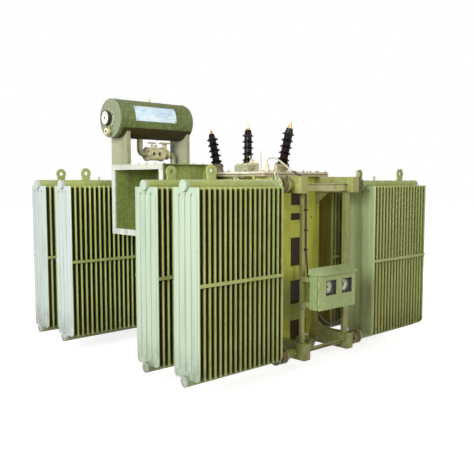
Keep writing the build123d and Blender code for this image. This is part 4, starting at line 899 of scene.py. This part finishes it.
DIAL_THICK = 0.0012
DIAL_MARKS = 11
DIAL_SWEEP = 240.0
DIAL_MARK = (0.74, 0.92, 0.025)
POINTER = (-0.2, 0.7, 0.045)
POINTER_LIFT = 0.001
HUB_FOOT = 0.17
HUB_TOP = 0.15
HUB_RISE = 0.004


def dial(name, centre, out, radius, pointer_angle):
    """White dial with a ring of marks and a pointer, on the side that out points to."""
    face = Pile(f"{name}_face", ENAMEL, "dial_metal")
    face.turned(centre, out, ((0, radius), (DIAL_THICK, radius)), 40)
    face.finish()
    marks = Pile(f"{name}_marks", INK, "dial_metal")
    front = centre + out * DIAL_THICK
    for index in range(DIAL_MARKS):
        degrees = 90 + DIAL_SWEEP / 2 - DIAL_SWEEP * index / (DIAL_MARKS - 1)
        hand(marks, front, out, degrees, radius, DIAL_MARK)
    hand(marks, front + out * POINTER_LIFT, out, pointer_angle, radius, POINTER)
    marks.turned(front, out, ((0, radius * HUB_FOOT), (HUB_RISE, radius * HUB_TOP)), 18)
    marks.finish()


def hand(pile, front, out, degrees, radius, shares):
    """Thin bar on a dial, along a line at an angle above level."""
    start, end, half_width = (share * radius for share in shares)
    angle = math.radians(degrees)
    line = Z * math.sin(angle) - out.cross(Z).normalized() * math.cos(angle)
    side = out.cross(line).normalized() * half_width
    outline = (line * start - side, line * start + side, line * end + side, line * end - side)
    pile.lofted([[front + out * lift + corner for corner in outline] for lift in (0, DIAL_THICK)])


GAUGE_FACE_DEPTH = 0.0042
GAUGE_FACE_RADIUS = 0.0575
GAUGE_POINTER = 70
GAUGE_FLANGE_THICK = 0.012
GAUGE_FLANGE = ((0, 0.088), (0.010, 0.088), (GAUGE_FLANGE_THICK, 0.086))
GAUGE_BOLTS = 8
GAUGE_BOLT_CIRCLE = 0.076
DRAIN_FROM_GAUGE = Vector((0, -0.026, -0.121))
DRAIN_MOUTH_SHADE = ((0, 0.012), (0.0015, 0.012))


def gauge_details():
    """Dial of the oil gauge, its bolted mounting flange and a dark disc on the drain cock, painted shade for
    its open mouth.
    """
    gauge = middle_of("oil_level_gauge")
    gauge.x = low_of("oil_level_gauge").x + GAUGE_FACE_DEPTH
    dial("oil_gauge", gauge, -X, GAUGE_FACE_RADIUS, GAUGE_POINTER)
    face = Vector((low_of("conservator_drum").x + SKIN, gauge.y, gauge.z))
    flange = Pile("oil_gauge_flange", SAGE)
    flange.turned(face, -X, GAUGE_FLANGE, 40)
    flange.finish()
    bolts = metal_pile("oil_gauge_bolts")
    for out in spokes(Y, Z, GAUGE_BOLTS, 0.5):
        bolts.bolt(face - X * (GAUGE_FLANGE_THICK - SKIN) + out * GAUGE_BOLT_CIRCLE, -X, M8)
    bolts.finish()
    drain = gauge + DRAIN_FROM_GAUGE
    drain.x = low_of("conservator_fittings").x + SKIN
    # Dark disc: painted shade in the drain cock's open mouth
    mouth = metal_pile("drain_cock_mouth_shade", DARK_METAL)
    mouth.turned(drain, -X, DRAIN_MOUTH_SHADE, 18)
    mouth.finish()


# Gas relay

RELAY_AXIS_RISE = 0.067
RELAY_CAP_RISE = 0.050
COCK_STEM_FOOT = ((0, 0.016), (0.020, 0.016), (0.024, 0.008))
COCK_STEM_RADIUS = 0.007
COCK_X = (-0.794, -0.700)
COCK_Z = 1.967
COCK_BAR_RADIUS = 0.0065
COCK_BAR_TIP = 0.004
COCK_BAR_TAPER = 0.003
SIGHT_FROM_MIDDLE = (-0.044, 0.020)
SIGHT_DEPTH = 0.058
SIGHT_RADIUS = 0.021
SIGHT_RIM = 0.0045
SIGHT_RIM_OUT = 0.004
SIGHT_PANE = ((0, SIGHT_RADIUS), (0.003, SIGHT_RADIUS))
RELAY_BOLTS = 6
RELAY_BOLT_CIRCLE = 0.052


def relay_details():
    """T-handle and sight windows of the relay, and bolts on its flange."""
    x, y, _ = middle_of("gas_relay")
    axis_z = low_of("gas_relay").z + RELAY_AXIS_RISE
    cap_z = axis_z + RELAY_CAP_RISE
    left, right = COCK_X
    length = right - left
    cast = metal_pile("relay_cock", CAST)
    cast.turned(Vector(((left + right) / 2, y, cap_z)), Z,
                (*COCK_STEM_FOOT, (COCK_Z - cap_z, COCK_STEM_RADIUS)), 14)
    cast.turned(Vector((left, y, COCK_Z)), X,
                ((0, COCK_BAR_TIP), (COCK_BAR_TAPER, COCK_BAR_RADIUS),
                 (length - COCK_BAR_TAPER, COCK_BAR_RADIUS), (length, COCK_BAR_TIP)))
    dark = metal_pile("relay_sight_windows", DARK_METAL)
    for offset in SIGHT_FROM_MIDDLE:
        centre = Vector((x + offset, y - SIGHT_DEPTH + SKIN, axis_z))
        cast.band(centre - Y * SIGHT_RIM_OUT, Y, SIGHT_RADIUS, SIGHT_RIM)
        dark.turned(centre, -Y, SIGHT_PANE, 24)
    cast.finish()
    dark.finish()
    bolts = metal_pile("relay_bolts")
    flange = Vector((low_of("gas_relay").x, y, axis_z))
    for out in spokes(Y, Z, RELAY_BOLTS, 0.5):
        bolts.bolt(flange + out * RELAY_BOLT_CIRCLE, -X, M8)
    bolts.finish()


# Cable box

LID_BOLT_INSET_X = 0.022
LID_BOLT_INSET_Y = 0.020
LID_BOLT_PITCH_X = 0.11
LID_BOLT_PITCH_Y = 0.13
THROAT_BOLT_INSET = 0.030
THROAT_BOLT_PITCH = 0.13
THROAT_BOTTOM_INSET = 0.04


def cable_box_bolts():
    """Bolts along the edges of the cable box lid and down both sides of the throat's flange."""
    pile = metal_pile("cable_box_bolts")
    low, high = corners_of("cable_box_lid")
    left = low.x + LID_BOLT_INSET_X
    right = high.x - LID_BOLT_INSET_X
    front = low.y + LID_BOLT_INSET_Y
    back = high.y - LID_BOLT_INSET_Y
    for x in spread(left, right, LID_BOLT_PITCH_X):
        for y in (front, back):
            pile.bolt(Vector((x, y, high.z)), Z, M8)
    for y in spread(front, back, LID_BOLT_PITCH_Y)[1:-1]:
        if beside_supports(y):
            pile.bolt(Vector((left, y, high.z)), Z, M8)
        pile.bolt(Vector((right, y, high.z)), Z, M8)
    low, high = corners_of("cable_box_throat")
    for z in spread(low.z + THROAT_BOTTOM_INSET, high.z - THROAT_BOLT_INSET, THROAT_BOLT_PITCH):
        for y in (low.y + THROAT_BOLT_INSET, high.y - THROAT_BOLT_INSET):
            pile.bolt(Vector((low.x, y, z)), -X, M8)
    pile.finish()


LIP_DEPTH = 0.047
LIP_CHAMFER = 0.0004


def flange_lip():
    """Thin pale strip across the top of the cable box flange, as on a folded edge."""
    low, high = corners_of("cable_box")
    top = high_of("cable_box_lid").z
    pile = Pile("cable_box_lip", PALE_STRIP)
    pile.slab((low.x - SKIN, low.y, top - LIP_DEPTH), (low.x + 2 * SKIN, high.y, top + SKIN), LIP_CHAMFER)
    pile.finish()


# Front frame and marshalling box

POST_FRONT = low_of("end_frame_posts").y
CLIP_PLACES = ((-0.2710, 1.370), (-0.2680, 1.200), (-0.2690, 1.040))
CLIP_HALF_WIDTH = 0.016
CLIP_HALF_HEIGHT = 0.008
CLIP_FRONT = POST_FRONT - 0.018
CLIP_CHAMFER = 0.002
CLIP_SCREW = ((0, 0.004), (0.0025, 0.003))
CLIP_SCREW_INSET = 0.005


def tube_clips():
    """Clamps that hold the capillary tube to the left front post."""
    pile = metal_pile("tube_clips", DARK_METAL)
    for x, z in CLIP_PLACES:
        left = x - CLIP_HALF_WIDTH
        pile.slab((left, CLIP_FRONT, z - CLIP_HALF_HEIGHT),
                  (x + CLIP_HALF_WIDTH, POST_FRONT + SKIN, z + CLIP_HALF_HEIGHT), CLIP_CHAMFER)
        pile.turned(Vector((left + CLIP_SCREW_INSET, CLIP_FRONT, z)), -Y, CLIP_SCREW, 10)
    pile.finish()


HOLE_PLACE = Vector((0.263, low_of("tank_stiffeners").y + SKIN, 1.2735))
HOLE = ((0, 0.009), (1.4 * SKIN, 0.009))


def hole_shade_disc():
    """Dark disc on the right front upright of the tank end: painted shade standing for a small round hole.
    """
    pile = Pile("upright_hole_shade_discs", DARK_METAL)
    pile.turned(HOLE_PLACE, -Y, HOLE, 18)
    pile.finish()


LATCH_RISE = 0.010
DOOR_FRONT = low_of("marshalling_box_door").y + LATCH_RISE
WINDOW_WIDTH = 0.134
WINDOW_HEIGHT = 0.126
WINDOW_CENTRES_X = (-0.140, 0.071)
WINDOW_Z = 0.723
SEAL_WIDTH = 0.006
SEAL_DEPTH = 0.015
SEAL_CHAMFER = 0.0006


def window_seals():
    """Rubber seals round the two windows, which ride with the door."""
    seals = Pile("window_seals", GASKET, "gasket_rubber", DOOR)
    front = DOOR_FRONT - SKIN
    back = DOOR_FRONT + SEAL_DEPTH
    bottom = WINDOW_Z - WINDOW_HEIGHT / 2
    top = WINDOW_Z + WINDOW_HEIGHT / 2
    for x in WINDOW_CENTRES_X:
        left = x - WINDOW_WIDTH / 2
        right = x + WINDOW_WIDTH / 2
        for near, far in ((left, left + SEAL_WIDTH), (right - SEAL_WIDTH, right)):
            seals.slab((near, front, bottom), (far, back, top), SEAL_CHAMFER)
        for low, high in ((bottom, bottom + SEAL_WIDTH), (top - SEAL_WIDTH, top)):
            seals.slab((left, front, low), (right, back, high), SEAL_CHAMFER)
    seals.finish()


DOOR_SCREW = ((0, 0.0042), (0.0028, 0.0042), (0.004, 0.0022))
DOOR_SCREW_PITCH = 0.042
HINGE_SCREW_INSET_X = 0.010
HINGE_SCREW_INSET_Z = 0.018
LATCH_SCREW_INSET_X = 0.014
LATCH_SCREW_INSET_Z = 0.016


def door_screws():
    """Row of small screws along the hinge edge and one at each latch corner, which ride with the door."""
    screws = Pile("door_screws", HINGE, "hinge_steel", DOOR)
    middle = middle_of("marshalling_box").x
    low, high = corners_of("marshalling_box_door")
    bottom = low.z + HINGE_SCREW_INSET_Z
    top = high.z - HINGE_SCREW_INSET_Z
    x = middle - CASE_HALF_WIDTH + HINGE_SCREW_INSET_X
    places = [(x, z) for z in spread(bottom, top, DOOR_SCREW_PITCH)]
    x = middle + CASE_HALF_WIDTH - LATCH_SCREW_INSET_X
    places += [(x, low.z + LATCH_SCREW_INSET_Z), (x, high.z - LATCH_SCREW_INSET_Z)]
    for x, z in places:
        screws.turned(Vector((x, DOOR_FRONT + SKIN, z)), -Y, DOOR_SCREW, 10)
    screws.finish()


THERMOMETER_FACE_DEPTH = 0.0045
THERMOMETER_FACE_RADIUS = 0.0445
THERMOMETER_POINTERS = (130, 105)


def box_dials():
    """Faces of the two thermometers behind the windows."""
    face = low_of("dial_gauges").y + THERMOMETER_FACE_DEPTH
    for index, (x, pointer) in enumerate(zip(WINDOW_CENTRES_X, THERMOMETER_POINTERS)):
        dial(f"thermometer_{index + 1}", Vector((x, face, WINDOW_Z)), -Y, THERMOMETER_FACE_RADIUS, pointer)


BRACKET_X = (-0.314, -0.262)
BRACKET_Z = (0.548, 0.586)
BRACKET_SIDE_THICK = 0.004
BRACKET_BACK_THICK = 0.006
BRACKET_REACH = 0.044
BRACKET_TAIL = 0.010
BRACKET_CHAMFER = 0.0008
BRACKET_BOLT_X = -0.286


def box_bracket():
    """Small angle that carries the lower left corner of the marshalling box on the post."""
    pile = Pile("box_corner_bracket", SAGE)
    left, right = BRACKET_X
    bottom, top = BRACKET_Z
    front = POST_FRONT - BRACKET_BACK_THICK
    pile.slab((left, POST_FRONT - BRACKET_REACH, bottom),
              (left + BRACKET_SIDE_THICK, POST_FRONT + BRACKET_TAIL, top), BRACKET_CHAMFER)
    pile.slab((left, front, bottom), (right, POST_FRONT, top), BRACKET_CHAMFER)
    pile.bolt(Vector((BRACKET_BOLT_X, front, (bottom + top) / 2)), -Y, M8)
    pile.finish()


LEFT_POST_BOLT_X = -0.284
RIGHT_POST_BOLT_X = 0.297
POST_FOOT_BOLT_RISE = 0.040
POST_TOP_BOLT_DROP = 0.030


def frame_bolts():
    """Bolts through the feet of the posts and the top of the right ones, on both end frames."""
    pile = metal_pile("frame_bolts")
    low, high = corners_of("end_frame_posts")
    foot_z = low.z + POST_FOOT_BOLT_RISE
    top_z = high.z - POST_TOP_BOLT_DROP
    for y, out in ((low.y, -Y), (high.y, Y)):
        for x, z in ((LEFT_POST_BOLT_X, foot_z), (RIGHT_POST_BOLT_X, foot_z), (RIGHT_POST_BOLT_X, top_z)):
            pile.bolt(Vector((x, y, z)), out, M12)
    pile.finish()


WHEEL_RADIUS = 0.030
WHEEL_RIM = 0.0048
WHEEL_HUB = ((0, 0.010), (0.016, 0.010))
WHEEL_HUB_DROP = 0.008
WHEEL_SPOKE = ((0, 0.0035), (WHEEL_RADIUS, 0.0035))
WHEEL_SPOKES = 3


def drain_wheel():
    """Handwheel on the drain valve's bonnet."""
    pile = metal_pile("drain_valve_wheel", CAST)
    centre = middle_of("drain_valve")
    centre.z = high_of("drain_valve").z
    pile.band(centre, Z, WHEEL_RADIUS, WHEEL_RIM)
    pile.turned(centre - Z * WHEEL_HUB_DROP, Z, WHEEL_HUB)
    for out in spokes(X, Y, WHEEL_SPOKES):
        pile.turned(centre, out, WHEEL_SPOKE, 8)
    pile.finish()


# Floor, background, lights and camera

def seen_directly(tree):
    """Mask that is 1 for what the camera, a mirror or glass shows, and 0 for what only sheds light."""
    path = tree.nodes.new("ShaderNodeLightPath")
    mask = path.outputs["Is Camera Ray"]
    for kind in ("Is Glossy Ray", "Is Transmission Ray"):
        either = tree.nodes.new("ShaderNodeMath")
        either.operation = "MAXIMUM"
        tree.links.new(mask, either.inputs[0])
        tree.links.new(path.outputs[kind], either.inputs[1])
        mask = either.outputs["Value"]
    return mask


def choose(tree, unseen, seen, output):
    """Sends one shader to what is seen directly and the other to the rest."""
    choice = tree.nodes.new("ShaderNodeMixShader")
    tree.links.new(seen_directly(tree), choice.inputs["Fac"])
    tree.links.new(unseen, choice.inputs[1])
    tree.links.new(seen, choice.inputs[2])
    tree.links.new(choice.outputs["Shader"], output.inputs["Surface"])


def floor_material():
    """Plain pale floor: white where it is seen directly, with only a light shade under the object."""
    make = Paints("pale_floor")
    make.colour(make.patches(0.6, 2.0, (0.3, FLOOR_BOUNCE), (0.7, FLOOR_BOUNCE + FLOOR_BOUNCE_SPREAD)))
    make.set("Roughness", FLOOR_ROUGHNESS)
    reach = make.add("ShaderNodeVectorMath")
    reach.operation = "LENGTH"
    make.link(make.place, reach.inputs[0])
    glow = make.add("ShaderNodeEmission")
    glow.inputs["Color"].default_value = (1, 1, 1, 1)
    rise = make.mapped(reach.outputs["Value"], (FLOOR_NEAR, FLOOR_FAR), (FLOOR_GLOW, 1.0))
    make.link(rise, glow.inputs["Strength"])
    soft = make.add("ShaderNodeBsdfDiffuse")
    soft.inputs["Color"].default_value = (FLOOR_SHADE, FLOOR_SHADE, FLOOR_SHADE, 1)
    seen = make.add("ShaderNodeAddShader")
    make.link(glow.outputs["Emission"], seen.inputs[0])
    make.link(soft.outputs["BSDF"], seen.inputs[1])
    choose(make.tree, make.shader.outputs["BSDF"], seen.outputs["Shader"], make.output)
    return make.material


def lay_floor():
    """Square floor at ground level."""
    data = bpy.data.meshes.new("floor")
    half = FLOOR_SIZE / 2
    corners = [(-half, -half, 0), (half, -half, 0), (half, half, 0), (-half, half, 0)]
    data.from_pydata(corners, [], [(0, 1, 2, 3)])
    data.materials.append(floor_material())
    floor = bpy.data.objects.new("floor", data)
    bpy.context.scene.collection.objects.link(floor)


def background():
    """White background where it is seen directly, and dim light from all round."""
    world = bpy.data.worlds.new("studio")
    bpy.context.scene.world = world
    world.use_nodes = True
    tree = world.node_tree
    tree.nodes.clear()
    sky = []
    for strength in (AMBIENT, 1.0):
        node = tree.nodes.new("ShaderNodeBackground")
        node.inputs["Color"].default_value = (1, 1, 1, 1)
        node.inputs["Strength"].default_value = strength
        sky.append(node.outputs["Background"])
    choose(tree, *sky, tree.nodes.new("ShaderNodeOutputWorld"))


def area_light(name, power, size, place, tint):
    """Square soft light aimed at the middle of the tank."""
    data = bpy.data.lights.new(name, "AREA")
    data.shape = "SQUARE"
    data.size = size
    data.energy = power
    data.color = tint
    light = bpy.data.objects.new(name, data)
    bpy.context.scene.collection.objects.link(light)
    light.location = Vector(place) + Y * TANK_Y
    aim = Vector((0, TANK_Y, AIM_HEIGHT)) - light.location
    light.rotation_euler = aim.to_track_quat("-Z", "Y").to_euler()


def lights():
    """Cool key from the low-voltage side, weaker warm light on the front end and from behind."""
    area_light("key", *KEY)
    area_light("fill", *FILL)
    area_light("back", *BACK)


def make_camera():
    """Camera at the photograph's place and angle."""
    data = bpy.data.cameras.new("camera")
    data.lens = CAMERA_LENS
    data.sensor_width = CAMERA_SENSOR
    camera = bpy.data.objects.new("camera", data)
    bpy.context.scene.collection.objects.link(camera)
    camera.location = Vector(CAMERA_PLACE) + Y * TANK_Y
    camera.rotation_euler = (math.radians(90 - CAMERA_PITCH), 0, math.radians(-CAMERA_YAW))
    bpy.context.scene.camera = camera


make_camera()
dress_nodes()
lay_floor()
background()
lights()
for make_piece in (cover_bolts, flange_bolts, lifting_eyes, panel_marks, bushing_fasteners, lever_box,
                   cover_fitting_screws, bare_plate, drum_seams, gauge_details, relay_details,
                   cable_box_bolts, flange_lip, tube_clips, hole_shade_disc, window_seals, door_screws,
                   box_dials, box_bracket, frame_bolts, drain_wheel):
    make_piece()

bpy.context.scene.view_settings.view_transform = "Standard"
